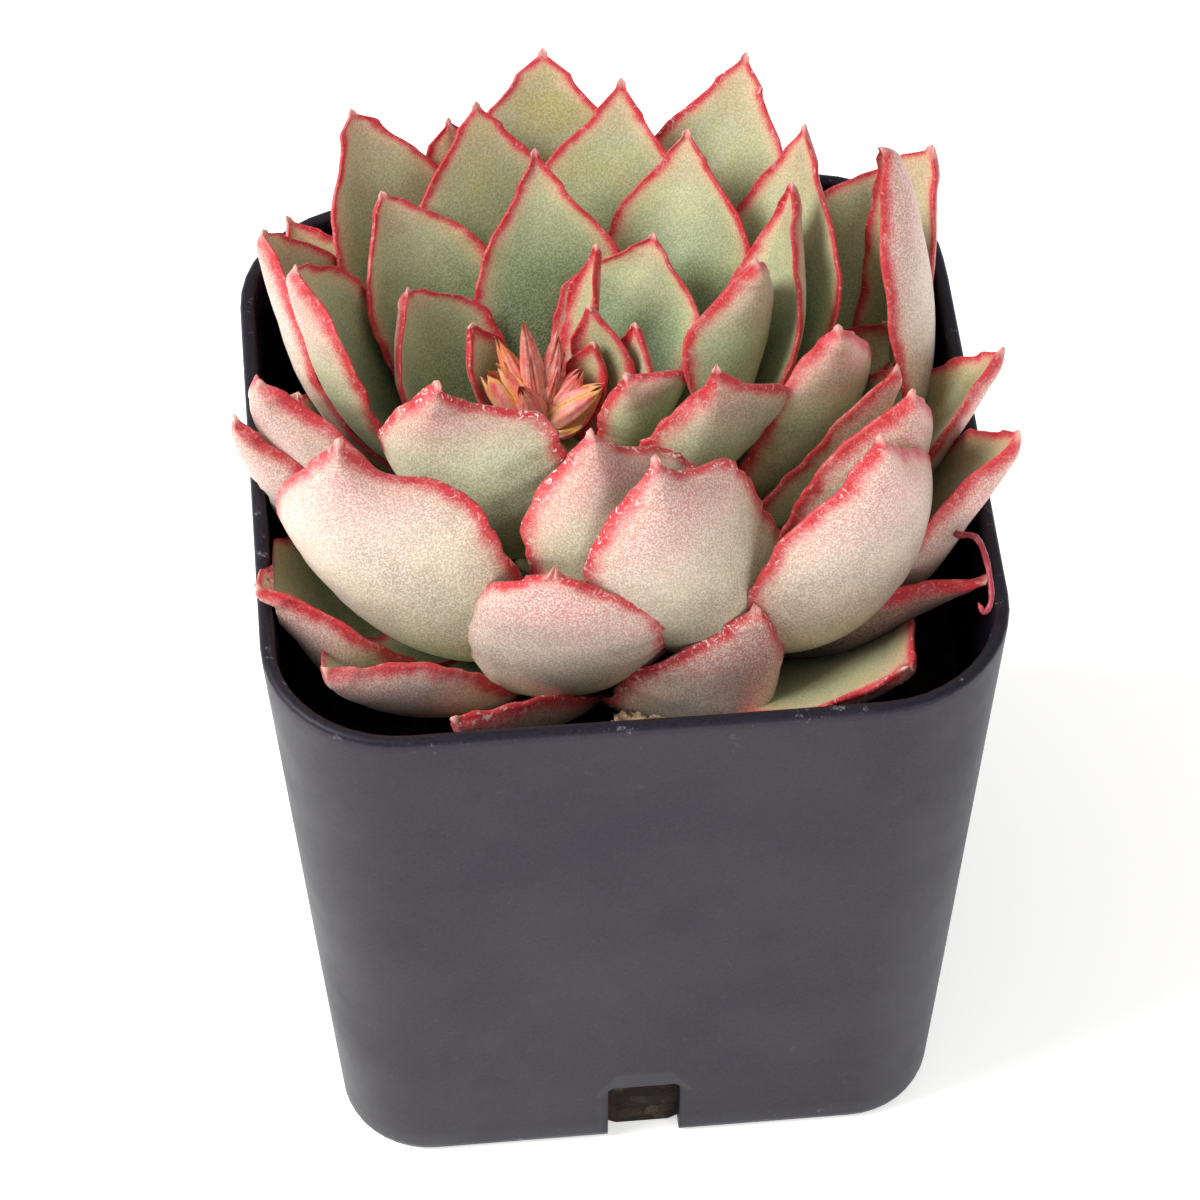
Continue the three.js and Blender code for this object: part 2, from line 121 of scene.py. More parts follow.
MIDDLE = [
    dict(turn=86, reach=33, height=70, foot=49, width=16.5, curl=30, cup=20, peak=0.4, age=1.0),
    dict(turn=59, reach=36, height=70, foot=49, width=14.5, curl=35, sway=15, cup=20, peak=0.45,
         age=0.6, scar=0.6),
    dict(turn=116, reach=30.5, height=70, foot=49, width=14, curl=30, roll=12, cup=25, peak=0.3, age=0.5),
    dict(turn=145, reach=25.5, height=70, foot=49, width=14, curl=50, roll=25, cup=50, peak=0.35),
    dict(turn=183, reach=22, height=70, foot=49, width=14, curl=60, roll=40, cup=40, peak=0.3, blush=0.3),
    dict(turn=217, reach=20.5, height=75, foot=48, width=19, curl=85, roll=44, sway=-90, cup=34,
         belly=0.55, widest=0.6, peak=0.75, ruffle=0.2, blush=0.4, scar=0.4),
    dict(turn=292, reach=17.5, height=75, foot=46.5, width=15.5, curl=108, roll=-2, sway=-80, cup=34,
         belly=0.72, widest=0.72, skew=0.06, peak=0.75, ruffle=0.25, blush=0.7, scar=0.8, cream=0.7),
    dict(turn=326, reach=28, height=75, foot=48, width=19, curl=90, roll=-25, cup=32, belly=0.65,
         widest=0.6, peak=0.7, blush=0.5, scar=0.5),
    dict(turn=355, reach=26.5, height=68, foot=50, width=11, curl=70, roll=-30, cup=35, peak=0.4,
         blush=0.6),
    dict(turn=342, reach=28, height=72, foot=51, width=13, curl=90, roll=-50, cup=35, belly=0.6,
         peak=0.5, blush=0.6),
    dict(turn=45, reach=31.5, height=70, foot=50, width=15, curl=45, roll=-12, sway=20, lean=-0.5),
    dict(turn=26, reach=30, height=76, foot=54, width=14.5, curl=150, roll=-18, sway=40, cup=45,
         belly=1.0, lean=-0.5, blush=0.5),
    dict(turn=74, reach=30, height=70, foot=51, width=14, curl=30, roll=-5, sway=10, cup=25, peak=0.6,
         age=0.7),
    dict(turn=97, reach=28, height=69.5, foot=51, width=13.5, curl=30, roll=5, cup=20, peak=0.45,
         age=0.6),
]
INNER = [
    dict(turn=120, reach=23, height=68, foot=52, width=13, curl=30, roll=12, peak=0.35),
    dict(turn=155, reach=20.5, height=72, foot=52, width=14, curl=50, roll=25, cup=45, peak=0.35),
    dict(turn=214, reach=10.5, height=73.5, foot=53, width=15, curl=70, roll=52, sway=-90, cup=32,
         belly=0.5, widest=0.6, lean=0.2, peak=0.8, ruffle=0.28, blush=0.6, scar=1, cream=0.42),
    dict(turn=280, reach=12.5, height=74, foot=49.5, width=15, curl=95, roll=14, sway=-50, cup=34,
         belly=0.75, widest=0.66, lean=0.1, peak=0.5, ruffle=0.25, blush=0.7, scar=1, cream=0.4),
    dict(turn=356, reach=22, height=72, foot=53, width=11.5, curl=90, roll=-75, cup=35, belly=0.6,
         peak=0.4, blush=0.6, cream=0.1),
    dict(turn=61, reach=27, height=69, foot=52, width=13, roll=-8, sway=25, cup=28, lean=-0.2, age=0.2),
    dict(turn=38, reach=26, height=70, foot=53, width=12, curl=60, roll=-22, sway=40, cup=35,
         lean=-0.6, cream=0.05),
    dict(turn=335, reach=13.5, height=73, foot=54, width=11.5, curl=60, roll=-70, cup=22, widest=0.6,
         skew=0.1, lean=0.25, peak=0.9, ruffle=0.25, blush=0.6, scar=0.4, cream=0.3),
    dict(turn=88, reach=21, height=70.5, foot=54, width=13, curl=30, roll=5, cup=25, widest=0.44,
         lean=-0.18, peak=0.6, age=0.1),
    dict(turn=20, reach=17.5, height=72, foot=54, width=14, curl=70, roll=-70, sway=30, cup=35,
         blush=0.15, cream=0),
    dict(turn=132, reach=15, height=66, foot=55, width=12.5, roll=12, cup=35, lean=0.15, peak=0.35),
    dict(turn=58, reach=18, height=66, foot=55, width=12.5, roll=-5, sway=20, age=0.1),
]
YOUNGEST = [
    dict(turn=68, reach=12.5, height=69, foot=57, width=3.2, curl=30, roll=-45, sway=-10, cup=45,
         blush=0.5),
    dict(turn=59, reach=7, height=68, foot=57.5, width=5.5, curl=25, sway=110, lean=-0.45, blush=0.8),
    dict(turn=34, reach=8.5, height=67, foot=57.5, width=6, curl=25, sway=50, lean=-0.45, blush=0.9),
    dict(turn=347, reach=6, height=68, foot=57, width=7.8, curl=70, roll=-82, sway=-50, belly=0.5,
         skew=0.1, lean=0.23, ruffle=0.2, blush=0.4, scar=0.5, cream=0),
    dict(turn=132, reach=8, height=67, foot=57.5, width=4.5, curl=25, roll=10, blush=0.7),
    dict(turn=47, reach=5.5, height=66, foot=58, width=3.5, curl=25, blush=0.9),
]
WHORLS = {"outer": OUTER, "middle": MIDDLE, "inner": INNER, "heart": YOUNGEST}
CREAM = {"outer": 0.9, "middle": 0.85, "inner": 0.3, "heart": 0.05}
for whorl_name, table in WHORLS.items():
    for row in table:
        row.setdefault("cream", CREAM[whorl_name])
DRIED = dict(turn=281, reach=26.5, height=55.6, foot=50, width=4, curl=30, start=20, widest=0.8)

# The buds all spring from the top of the stalk. tip: where each one points to. start: how far
# along that line it begins. girth: its thickness. gape: how far its petals have opened. ripe:
# how yellow its petals' edges are.
BUDS = [
    dict(tip=(-6.6, 5.4, 68.5), start=0.1, girth=1.9, gape=0, ripe=0.1),
    dict(tip=(-8.6, 6.2, 66), start=0.2, girth=1.9, gape=0.1, ripe=0.5),
    dict(tip=(-3.7, 5.7, 67), start=0.2, girth=2, gape=0, ripe=0.1),
    dict(tip=(-9.4, 4.1, 64.5), start=0.25, girth=3, gape=0.45, ripe=0.9),
    dict(tip=(-7.2, 1.4, 65.2), start=0.15, girth=2.2, gape=0, ripe=0.2),
    dict(tip=(-0.6, 2, 64), start=0.1, girth=3, gape=0.05, ripe=1),
    dict(tip=(-2.1, 3.6, 64.5), start=0.2, girth=2.2, gape=0.1, ripe=0.1),
]

ROOT_ROUTE = [
    (25, -12.6, 60.4), (26.2, -14.4, 61.9), (26.6, -17.2, 62.2), (26.6, -19.8, 61.2), (26, -20.6, 60.5),
    (25.6, -19.9, 60.9),
]


def linear(code):
    """An sRGB hex colour such as "#9AA880" as linear red, green and blue."""
    parts = [int(code[k:k + 2], 16) / 255 for k in (1, 3, 5)]
    return tuple(c / 12.92 if c <= 0.04045 else ((c + 0.055) / 1.055) ** 2.4 for c in parts)


# ---- Settings that a user would change ----


class SUCCULENT_PG_stage(bpy.types.PropertyGroup):
    """Where the camera stands and how the object is lit."""

    azimuth: bpy.props.FloatProperty(
        name="Camera turn", description="How far the camera has walked round the object",
        default=math.radians(-4.87), unit="ROTATION", subtype="ANGLE")
    elevation: bpy.props.FloatProperty(
        name="Camera elevation", description="How steeply the camera looks down",
        default=math.radians(49.79), unit="ROTATION", subtype="ANGLE")
    lean: bpy.props.FloatProperty(
        name="Camera lean", description="Turn of the camera about its line of sight",
        default=math.radians(-0.43), unit="ROTATION", subtype="ANGLE")
    distance: bpy.props.FloatProperty(
        name="Camera distance", description="From the camera to the point it looks at",
        default=378.6 * MM, unit="LENGTH", subtype="DISTANCE")
    target: bpy.props.FloatVectorProperty(
        name="Camera target", description="The point that the camera looks at",
        default=(-1.22 * MM, 0, 40.76 * MM), size=3, unit="LENGTH", subtype="TRANSLATION")
    lens: bpy.props.FloatProperty(
        name="Focal length", description="Focal length on a 36 mm wide sensor, in millimetres",
        default=140.5, min=10, max=400)
    floor_colour: bpy.props.FloatVectorProperty(
        name="Floor", description="Colour of the floor", default=linear("#FBFAF8"), size=3, subtype="COLOR",
        min=0, max=1)
    table_light: bpy.props.FloatProperty(
        name="Light table", description="Light that comes up through the white floor", default=0.5, min=0)
    key_power: bpy.props.FloatProperty(
        name="Key light", description="Power of the softbox at the upper left", default=5.7,
        unit="POWER")
    sky_strength: bpy.props.FloatProperty(
        name="Surround", description="Brightness of the white surround", default=0.52, min=0)


class SUCCULENT_PG_pot(bpy.types.PropertyGroup):
    """Finish and wall of the moulded pot."""

    wall: bpy.props.FloatProperty(
        name="Wall", description="Thickness of the pot's wall", default=1.1 * MM, unit="LENGTH",
        subtype="DISTANCE")
    floor: bpy.props.FloatProperty(
        name="Floor", description="Thickness of the pot's floor", default=1.5 * MM, unit="LENGTH",
        subtype="DISTANCE")
    colour: bpy.props.FloatVectorProperty(
        name="Plastic", description="Colour of the black plastic", default=linear("#17141D"), size=3,
        subtype="COLOR", min=0, max=1)
    scuff_colour: bpy.props.FloatVectorProperty(
        name="Scuffs", description="Colour where the plastic is rubbed", default=linear("#8A8790"), size=3,
        subtype="COLOR", min=0, max=1)


class SUCCULENT_PG_soil(bpy.types.PropertyGroup):
    """The potting mix."""

    lump: bpy.props.FloatProperty(
        name="Lumps", description="How high the lumps of the surface stand", default=1.0 * MM, unit="LENGTH",
        subtype="DISTANCE")
    crumbs: bpy.props.IntProperty(
        name="Crumbs", description="How many loose crumbs lie on the soil", default=420, min=0)
    colour: bpy.props.FloatVectorProperty(
        name="Peat", description="Colour of moist peat", default=linear("#2B211B"), size=3, subtype="COLOR",
        min=0, max=1)


class SUCCULENT_PG_leaf(bpy.types.PropertyGroup):
    """Flesh, margins and colours of the leaves."""

    thickness: bpy.props.FloatProperty(
        name="Thickness", description="Thickest place of a leaf, as a share of its width", default=0.2,
        min=0.05, max=0.5, subtype="FACTOR")
    edge: bpy.props.FloatProperty(
        name="Margin", description="Thickness of a leaf at its margin", default=0.5 * MM, unit="LENGTH",
        subtype="DISTANCE")
    point: bpy.props.FloatProperty(
        name="Point", description="Length and width of the dry nub at a leaf's tip", default=0.4 * MM,
        unit="LENGTH", subtype="DISTANCE")
    inner_colour: bpy.props.FloatVectorProperty(
        name="Inner face", description="Sage green of the faces that look to the heart",
        default=linear("#869B6A"), size=3, subtype="COLOR", min=0, max=1)
    outer_colour: bpy.props.FloatVectorProperty(
        name="Outer face", description="Pale pink of the faces that look away", default=linear("#E0C1B5"),
        size=3, subtype="COLOR", min=0, max=1)
    margin_colour: bpy.props.FloatVectorProperty(
        name="Margin", description="Red of the margins", default=linear("#C4222E"), size=3,
        subtype="COLOR", min=0, max=1)
    bloom_colour: bpy.props.FloatVectorProperty(
        name="Bloom", description="Pale wax on the skin", default=linear("#F4EDE4"), size=3,
        subtype="COLOR", min=0, max=1)


class SUCCULENT_PG_bud(bpy.types.PropertyGroup):
    """The flower buds and the aerial root."""

    petal_colour: bpy.props.FloatVectorProperty(
        name="Petals", description="Coral red of the petals", default=linear("#E67D76"), size=3,
        subtype="COLOR", min=0, max=1)
    seam_colour: bpy.props.FloatVectorProperty(
        name="Petal edges", description="Yellow where petals meet", default=linear("#EBB04E"), size=3,
        subtype="COLOR", min=0, max=1)
    root_colour: bpy.props.FloatVectorProperty(
        name="Aerial root", description="Red of the aerial root", default=linear("#A33444"), size=3,
        subtype="COLOR", min=0, max=1)


SETTINGS = {
    "succulent_stage": SUCCULENT_PG_stage,
    "succulent_pot": SUCCULENT_PG_pot,
    "succulent_soil": SUCCULENT_PG_soil,
    "succulent_leaf": SUCCULENT_PG_leaf,
    "succulent_bud": SUCCULENT_PG_bud,
}

# ---- Small helpers ----


def direction(turn, rise):
    """Unit vector that points to a compass angle, raised above level, both in degrees."""
    a = math.radians(turn)
    b = math.radians(rise)
    return np.array([math.cos(b) * math.cos(a), math.cos(b) * math.sin(a), math.sin(b)])


def unit(rows):
    """Each vector at length 1."""
    return rows / np.linalg.norm(rows, axis=-1, keepdims=True)


def smooth_step(x):
    """0 below 0, 1 above 1, and an easy ramp between."""
    x = np.clip(x, 0, 1)
    return x * x * (3 - 2 * x)


def waves(x, seed, sizes):
    """A smooth random line through x: one sine for each (wavelength, height)."""
    draw = np.random.default_rng(SEED + seed)
    total = np.zeros_like(x)
    for wavelength, height in sizes:
        stretch = draw.uniform(0.8, 1.25)
        total += height * np.sin(2 * np.pi * x / (wavelength * stretch) + draw.uniform(0, 6.28))
    return total


def piece(name, points, faces, material, nodes, attributes=None, smooth=True):
    """A mesh object from points in millimetres, which rides on the root body."""
    mesh = bpy.data.meshes.new(name)
    mesh.from_pydata((np.asarray(points) * MM).tolist(), [], faces)
    mesh.validate()
    for key, values in (attributes or {}).items():
        layer = mesh.attributes.new(key, "FLOAT", "POINT")
        layer.data.foreach_set("value", np.asarray(values, dtype=np.float32))
    mesh.polygons.foreach_set("use_smooth", [smooth] * len(mesh.polygons))
    mesh.materials.append(material)
    made = bpy.data.objects.new(name, mesh)
    bpy.context.scene.collection.objects.link(made)
    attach(made, "root")
    if nodes:
        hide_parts(*nodes)
    return made


def skin_faces(rings, count):
    """Faces of a closed skin over rings of equal count, with a point after them for each end."""
    k = np.arange(count)
    low = (np.arange(rings - 1) * count)[:, None]
    following = (k + 1) % count
    quads = np.stack([low + k, low + following, low + count + following, low + count + k], axis=-1)
    faces = quads.reshape(-1, 4).tolist()
    start = rings * count
    last = (rings - 1) * count
    faces += [[start, int(b), int(a)] for a, b in zip(k, following)]
    faces += [[start + 1, int(last + a), int(last + b)] for a, b in zip(k, following)]
    return faces


# ---- Materials ----


def solid(colour):
    """A colour at full alpha, from a hex code, a plain factor, or red, green and blue."""
    if isinstance(colour, str):
        colour = linear(colour)
    elif isinstance(colour, (int, float)):
        colour = (colour, colour, colour)
    return (*colour, 1)


def node(tree, kind, inputs=None, stops=None, **settings):
    """Add a node. inputs: socket to value, or to the node or socket that feeds it. A node feeds
    by the first output in use. stops: place and colour along a ramp."""
    made = tree.nodes.new("ShaderNode" + kind)
    for key, value in settings.items():
        setattr(made, key, value)
    if stops:
        ramp = made.color_ramp
        while len(ramp.elements) < len(stops):
            ramp.elements.new(0.5)
        for element, (place, colour) in zip(ramp.elements, stops):
            element.position = place
            element.color = solid(colour)
    for key, value in (inputs or {}).items():
        socket = made.inputs[key]
        if isinstance(value, bpy.types.Node):
            value = next(output for output in value.outputs if output.enabled)
        if isinstance(value, bpy.types.NodeSocket):
            tree.links.new(value, socket)
        else:
            socket.default_value = solid(value) if socket.type == "RGBA" else value
    return made


def finished(name, build):
    """The material of that name. build gets its empty tree and returns its shader node."""
    material = bpy.data.materials.get(name)
    if material is None:
        material = bpy.data.materials.new(name)
        material.use_nodes = True
        tree = material.node_tree
        tree.nodes.clear()
        node(tree, "OutputMaterial", {"Surface": build(tree)})
    return material


def leaf_skin(tree):
    """Living leaf skin under a coat of powdery wax. The wax scatters light, so the skin looks
    matte and chalky, with a fine grain, and the thin red margins glow a little."""
    leaf = bpy.context.scene.succulent_leaf
    place = node(tree, "TexCoord").outputs["Object"]
    along, rim, inner, blush, age, scar, tan_and_shade, cream = (
        node(tree, "Attribute", attribute_name=key).outputs["Fac"]
        for key in ("along", "rim", "inner", "blush", "age", "scar", "tan_and_shade", "cream"))

    # Grains of wax, 0.15 mm.
    grain = node(tree, "TexNoise", {"Vector": place, "Scale": 6600, "Detail": 1, "Roughness": 0.5})
    # Cloudy patches of colour, 4 mm across.
    cloud = node(tree, "TexNoise", {"Vector": place, "Scale": 250, "Detail": 3, "Roughness": 0.55})
    # The red of the margin bleeds inward unevenly, in tongues about 2.5 mm apart.
    bleed = node(tree, "TexNoise", {"Vector": place, "Scale": 400, "Detail": 4, "Roughness": 0.6})
    patch = node(tree, "MapRange", {"Value": cloud, "From Min": 0.35, "From Max": 0.65})

    # Inner face: green deepening to the foot, partly the leaf's own colour and partly painted shade for the
    # shadow deep in the rosette, sage in the middle, yellower to the tip.
    inner_body = node(tree, "ValToRGB", {"Fac": along}, stops=[
        (0.0, "#273A1E"), (0.36, "#486331"), (0.64, leaf.inner_colour), (0.85, "#B5B78B"),
        (1.0, "#CBA283")])
    # Old leaves turn olive, in patches.
    turned = node(tree, "Math", {0: patch, 1: age}, operation="MULTIPLY")
    olive = node(tree, "Mix", {0: turned, 6: inner_body, 7: "#9F965C"}, data_type="RGBA")
    # Outer face: young leaves are green there, older ones cream, and pink gathers to the tip.
    young_outer = node(tree, "ValToRGB", {"Fac": along}, stops=[
        (0.0, "#657A48"), (0.4, "#8B9E68"), (0.75, "#B2BD8E"), (1.0, "#C9A890")])
    old_outer = node(tree, "ValToRGB", {"Fac": along}, stops=[
        (0.0, "#98A172"), (0.33, "#BEC097"), (0.58, "#D2BEA3"), (0.82, leaf.outer_colour),
        (1.0, "#E0B1A5")])
    outer_body = node(tree, "Mix", {0: cream, 6: young_outer, 7: old_outer}, data_type="RGBA")
    # Pink spreads from the tip and the margins over the outer face.
    tipward = node(tree, "MapRange", {
        "Value": along, "From Min": 0.7, "From Max": 1.0}, interpolation_type="SMOOTHSTEP")
    pale_rim = node(tree, "Math", {0: cream, 1: 0.45}, operation="MULTIPLY")
    rimward = node(tree, "MapRange", {
        "Value": rim, "From Min": 0, "From Max": 3.5, "To Min": pale_rim, "To Max": 0},
        interpolation_type="SMOOTHSTEP")
    flush = node(tree, "Math", {0: tipward, 1: rimward}, operation="ADD", use_clamp=True)
    both_flush = node(tree, "Math", {0: flush, 1: patch, 2: flush}, operation="MULTIPLY_ADD")
    pink_share = node(tree, "Math", {0: both_flush, 1: blush}, operation="MULTIPLY", use_clamp=True)
    outer_pink = node(tree, "Mix", {0: pink_share, 6: outer_body, 7: "#DA9A92"}, data_type="RGBA")
    # Handled leaves have a mauve bruise below the tip.
    below_tip = node(tree, "MapRange", {
        "Value": along, "From Min": 0.72, "From Max": 0.92}, interpolation_type="SMOOTHSTEP")
    bruised = node(tree, "Math", {0: below_tip, 1: patch}, operation="MULTIPLY")
    bruise_most = node(tree, "Math", {0: scar, 1: 0.6}, operation="MULTIPLY")
    bruise = node(tree, "Math", {0: bruised, 1: bruise_most}, operation="MULTIPLY")
    outer_marked = node(tree, "Mix", {0: bruise, 6: outer_pink, 7: "#B27A78"}, data_type="RGBA")
    body = node(tree, "Mix", {0: inner, 6: outer_marked, 7: olive}, data_type="RGBA")
    # Leaves tan to a dull brown. On the low back-right outer leaf this dark brown is painted shade, standing
    # in for the shadow of the leaves above it.
    tanned_and_shaded = node(tree, "Mix", {0: tan_and_shade, 6: body, 7: "#745150"}, data_type="RGBA")
    tone = node(tree, "MapRange", {
        "Value": cloud, "From Min": 0.3, "From Max": 0.7, "To Min": 0.8, "To Max": 1.12})
    body_toned = node(tree, "VectorMath", {0: tanned_and_shaded, "Scale": tone}, operation="SCALE")

    # Distance to the margin in millimetres, made uneven by the bleed.
    wander = node(tree, "Math", {0: bleed, 1: -1.4, 2: 0.7}, operation="MULTIPLY_ADD")
    uneven = node(tree, "Math", {0: rim, 1: wander}, operation="ADD")
    # The band reaches further in on the most flushed leaves.
    reach = node(tree, "MapRange", {
        "Value": blush, "From Min": 0.6, "From Max": 1.0, "To Min": 2.8, "To Max": 4.6})
    band = node(tree, "MapRange", {"Value": uneven, "From Min": 0, "From Max": reach})
    band_colour = node(tree, "ValToRGB", {"Fac": band}, stops=[
        (0.0, leaf.margin_colour), (0.1, "#CB3F48"), (0.19, "#D97468"), (0.32, "#D9AE85"),
        (0.65, "#C3BC8C")])
    inner_band = node(tree, "ValToRGB", {"Fac": band}, stops=[
        (0.0, 1), (0.11, 0.95), (0.28, 0.55), (0.85, 0)])
    outer_band = node(tree, "ValToRGB", {"Fac": band}, stops=[
        (0.0, 0.95), (0.1, 0.7), (0.25, 0.25), (0.6, 0)])
    band_share = node(tree, "Mix", {0: inner, 2: outer_band, 3: inner_band}, data_type="FLOAT")
    edged = node(tree, "Mix", {0: band_share, 6: body_toned, 7: band_colour}, data_type="RGBA")

    # Old scuffs along the margin heal to pale cork, in spots of 0.6 mm.
    nick = node(tree, "TexNoise", {
        "Vector": place, "Scale": 1700, "Detail": 4, "Roughness": 0.7, "Distortion": 1.2})
    nick_spots = node(tree, "MapRange", {"Value": nick, "From Min": 0.56, "From Max": 0.64})
    near = node(tree, "MapRange", {
        "Value": uneven, "From Min": 0.0, "From Max": 0.7, "To Min": 1, "To Max": 0})
    corky = node(tree, "Math", {0: nick_spots, 1: near}, operation="MULTIPLY")
    corky_share = node(tree, "Math", {0: corky, 1: scar}, operation="MULTIPLY", use_clamp=True)
    scuffed = node(tree, "Mix", {0: corky_share, 6: edged, 7: "#F1E4DC"}, data_type="RGBA")

    # The wax itself: pale grains, thicker on the outer faces and rubbed off the margins.
    outer_wax = node(tree, "Math", {0: cream, 1: 0.34, 2: 0.17}, operation="MULTIPLY_ADD")
    wax_most = node(tree, "MapRange", {"Value": inner, "To Min": outer_wax, "To Max": 0.15})
    wax_spots = node(tree, "MapRange", {
        "Value": grain, "From Min": 0.45, "From Max": 0.62, "To Min": 0, "To Max": wax_most})
    kept_wax = node(tree, "MapRange", {
        "Value": uneven, "From Min": 0, "From Max": 0.9, "To Min": 0.08, "To Max": 1})
    wax_share = node(tree, "Math", {0: wax_spots, 1: kept_wax}, operation="MULTIPLY")
    waxed = node(tree, "Mix", {0: wax_share, 6: scuffed, 7: leaf.bloom_colour}, data_type="RGBA")
    # Between the grains the bare skin is darker, and the nub at the very tip is dry and pale.
    bare = node(tree, "MapRange", {
        "Value": grain, "From Min": 0.35, "From Max": 0.55, "To Min": 0.86, "To Max": 1})
    mottled = node(tree, "VectorMath", {0: waxed, "Scale": bare}, operation="SCALE")
    nub = node(tree, "MapRange", {"Value": along, "From Min": 0.985, "From Max": 1.0, "To Max": 0.7})
    skin = node(tree, "Mix", {0: nub, 6: mottled, 7: "#E3B3A6"}, data_type="RGBA")
    relief = node(tree, "Bump", {"Height": grain, "Strength": 0.35, "Distance": 0.06 * MM})
    rough = node(tree, "MapRange", {"Value": grain, "To Min": 0.4, "To Max": 0.62})
    return node(tree, "BsdfPrincipled", {
        "Base Color": skin, "Roughness": rough, "IOR": 1.42, "Subsurface Weight": 0.15,
        "Subsurface Radius": (1.0, 0.6, 0.35), "Subsurface Scale": 0.6 * MM, "Sheen Weight": 0.08,
        "Sheen Roughness": 0.5, "Normal": relief})


def petal_skin(tree):
    """Waxy flower petals. They are thin, so light passes through, and the ripest have yellow edges."""
    bud = bpy.context.scene.succulent_bud
    place = node(tree, "TexCoord").outputs["Object"]
    along, rim, inner, sepal, ripe = (
        node(tree, "Attribute", attribute_name=key).outputs["Fac"]
        for key in ("along", "rim", "inner", "sepal", "ripe"))
    # Grains of wax, 0.2 mm.
    grain = node(tree, "TexNoise", {"Vector": place, "Scale": 5000, "Detail": 2})
    # Blotches of 0.7 mm.
    cloud = node(tree, "TexNoise", {"Vector": place, "Scale": 1400, "Detail": 3})
    body = node(tree, "ValToRGB", {"Fac": along}, stops=[
        (0.0, "#DDB866"), (0.25, "#E79A7C"), (0.6, bud.petal_colour), (0.85, "#DB5A5A"),
        (1.0, "#B61F2C")])
    leafy = node(tree, "ValToRGB", {"Fac": along}, stops=[
        (0.0, "#C0A862"), (0.35, "#D67F68"), (0.7, "#C84A4C"), (1.0, "#A0222F")])
    outside = node(tree, "Mix", {0: sepal, 6: body, 7: leafy}, data_type="RGBA")
    edge = node(tree, "MapRange", {
        "Value": rim, "From Min": 0.1, "From Max": 0.55, "To Min": 1, "To Max": 0})
    edge_share = node(tree, "Math", {0: edge, 1: ripe}, operation="MULTIPLY")
    edged = node(tree, "Mix", {0: edge_share, 6: outside, 7: bud.seam_colour}, data_type="RGBA")
    # Where petals meet, a thin dark line.
    seam = node(tree, "MapRange", {
        "Value": rim, "From Min": 0.0, "From Max": 0.12, "To Min": 0.55, "To Max": 0})
    lined = node(tree, "Mix", {0: seam, 6: edged, 7: "#9C3430"}, data_type="RGBA")
    deep = node(tree, "MapRange", {
        "Value": along, "From Min": 0.3, "From Max": 0.9, "To Min": 1, "To Max": 0})
    throat_share = node(tree, "Math", {0: inner, 1: deep}, operation="MULTIPLY")
    throat = node(tree, "Mix", {0: throat_share, 6: lined, 7: "#D9A545"}, data_type="RGBA")
    spots = node(tree, "MapRange", {
        "Value": cloud, "From Min": 0.42, "From Max": 0.66, "To Min": 0, "To Max": 0.45})
    pale = node(tree, "Mix", {0: spots, 6: throat, 7: "#EBB9A6"}, data_type="RGBA")
    mottle = node(tree, "MapRange", {
        "Value": grain, "From Min": 0.35, "From Max": 0.6, "To Min": 0.85, "To Max": 1.05})
    colour = node(tree, "VectorMath", {0: pale, "Scale": mottle}, operation="SCALE")
    relief = node(tree, "Bump", {"Height": grain, "Strength": 0.4, "Distance": 0.06 * MM})
    return node(tree, "BsdfPrincipled", {
        "Base Color": colour, "Roughness": 0.45, "IOR": 1.42, "Subsurface Weight": 0.2,
        "Subsurface Radius": (1.0, 0.5, 0.2), "Subsurface Scale": 0.4 * MM, "Normal": relief})


def pot_plastic(tree):
    """Injection moulded black polypropylene. It has a satin face with a faint orange-peel, and
    its edges and rim are rubbed paler by handling."""
    pot = bpy.context.scene.succulent_pot
    place = node(tree, "TexCoord").outputs["Object"]
    rubbed = node(tree, "Attribute", attribute_name="rubbed").outputs["Fac"]
    # Orange-peel of the mould, 0.5 mm between bumps, a fine pale mottle of 0.25 mm, clouds of
    # 11 mm and scratches 1.4 mm apart.
    peel = node(tree, "TexNoise", {"Vector": place, "Scale": 2000, "Detail": 2})
    mottle = node(tree, "TexNoise", {"Vector": place, "Scale": 4000, "Detail": 2, "Roughness": 0.7})
    patch = node(tree, "TexNoise", {"Vector": place, "Scale": 90, "Detail": 4, "Roughness": 0.6})
    scratch = node(tree, "TexNoise", {"Vector": place, "Scale": 700, "Detail": 5, "Roughness": 0.75})
    tone = node(tree, "MapRange", {
        "Value": patch, "From Min": 0.3, "From Max": 0.7, "To Min": 0.88, "To Max": 1.14})
    clouded = node(tree, "VectorMath", {0: pot.colour[:], "Scale": tone}, operation="SCALE")
    speck = node(tree, "MapRange", {
        "Value": mottle, "From Min": 0.3, "From Max": 0.7, "To Min": 0.45, "To Max": 1.65})
    plain = node(tree, "VectorMath", {0: clouded, "Scale": speck}, operation="SCALE")
    wear = node(tree, "MapRange", {"Value": scratch, "From Min": 0.62, "From Max": 0.72})
    worn = node(tree, "Math", {0: wear, 1: rubbed}, operation="MULTIPLY", use_clamp=True)
    colour = node(tree, "Mix", {0: worn, 6: plain, 7: pot.scuff_colour}, data_type="RGBA")
    rough = node(tree, "MapRange", {
        "Value": patch, "From Min": 0.3, "From Max": 0.7, "To Min": 0.38, "To Max": 0.52})
    relief = node(tree, "Bump", {"Height": peel, "Strength": 0.2, "Distance": 0.04 * MM})
    return node(tree, "BsdfPrincipled", {
        "Base Color": colour, "Roughness": rough, "IOR": 1.49, "Specular IOR Level": 0.3,
        "Specular Tint": (0.9, 0.87, 1.0), "Normal": relief})


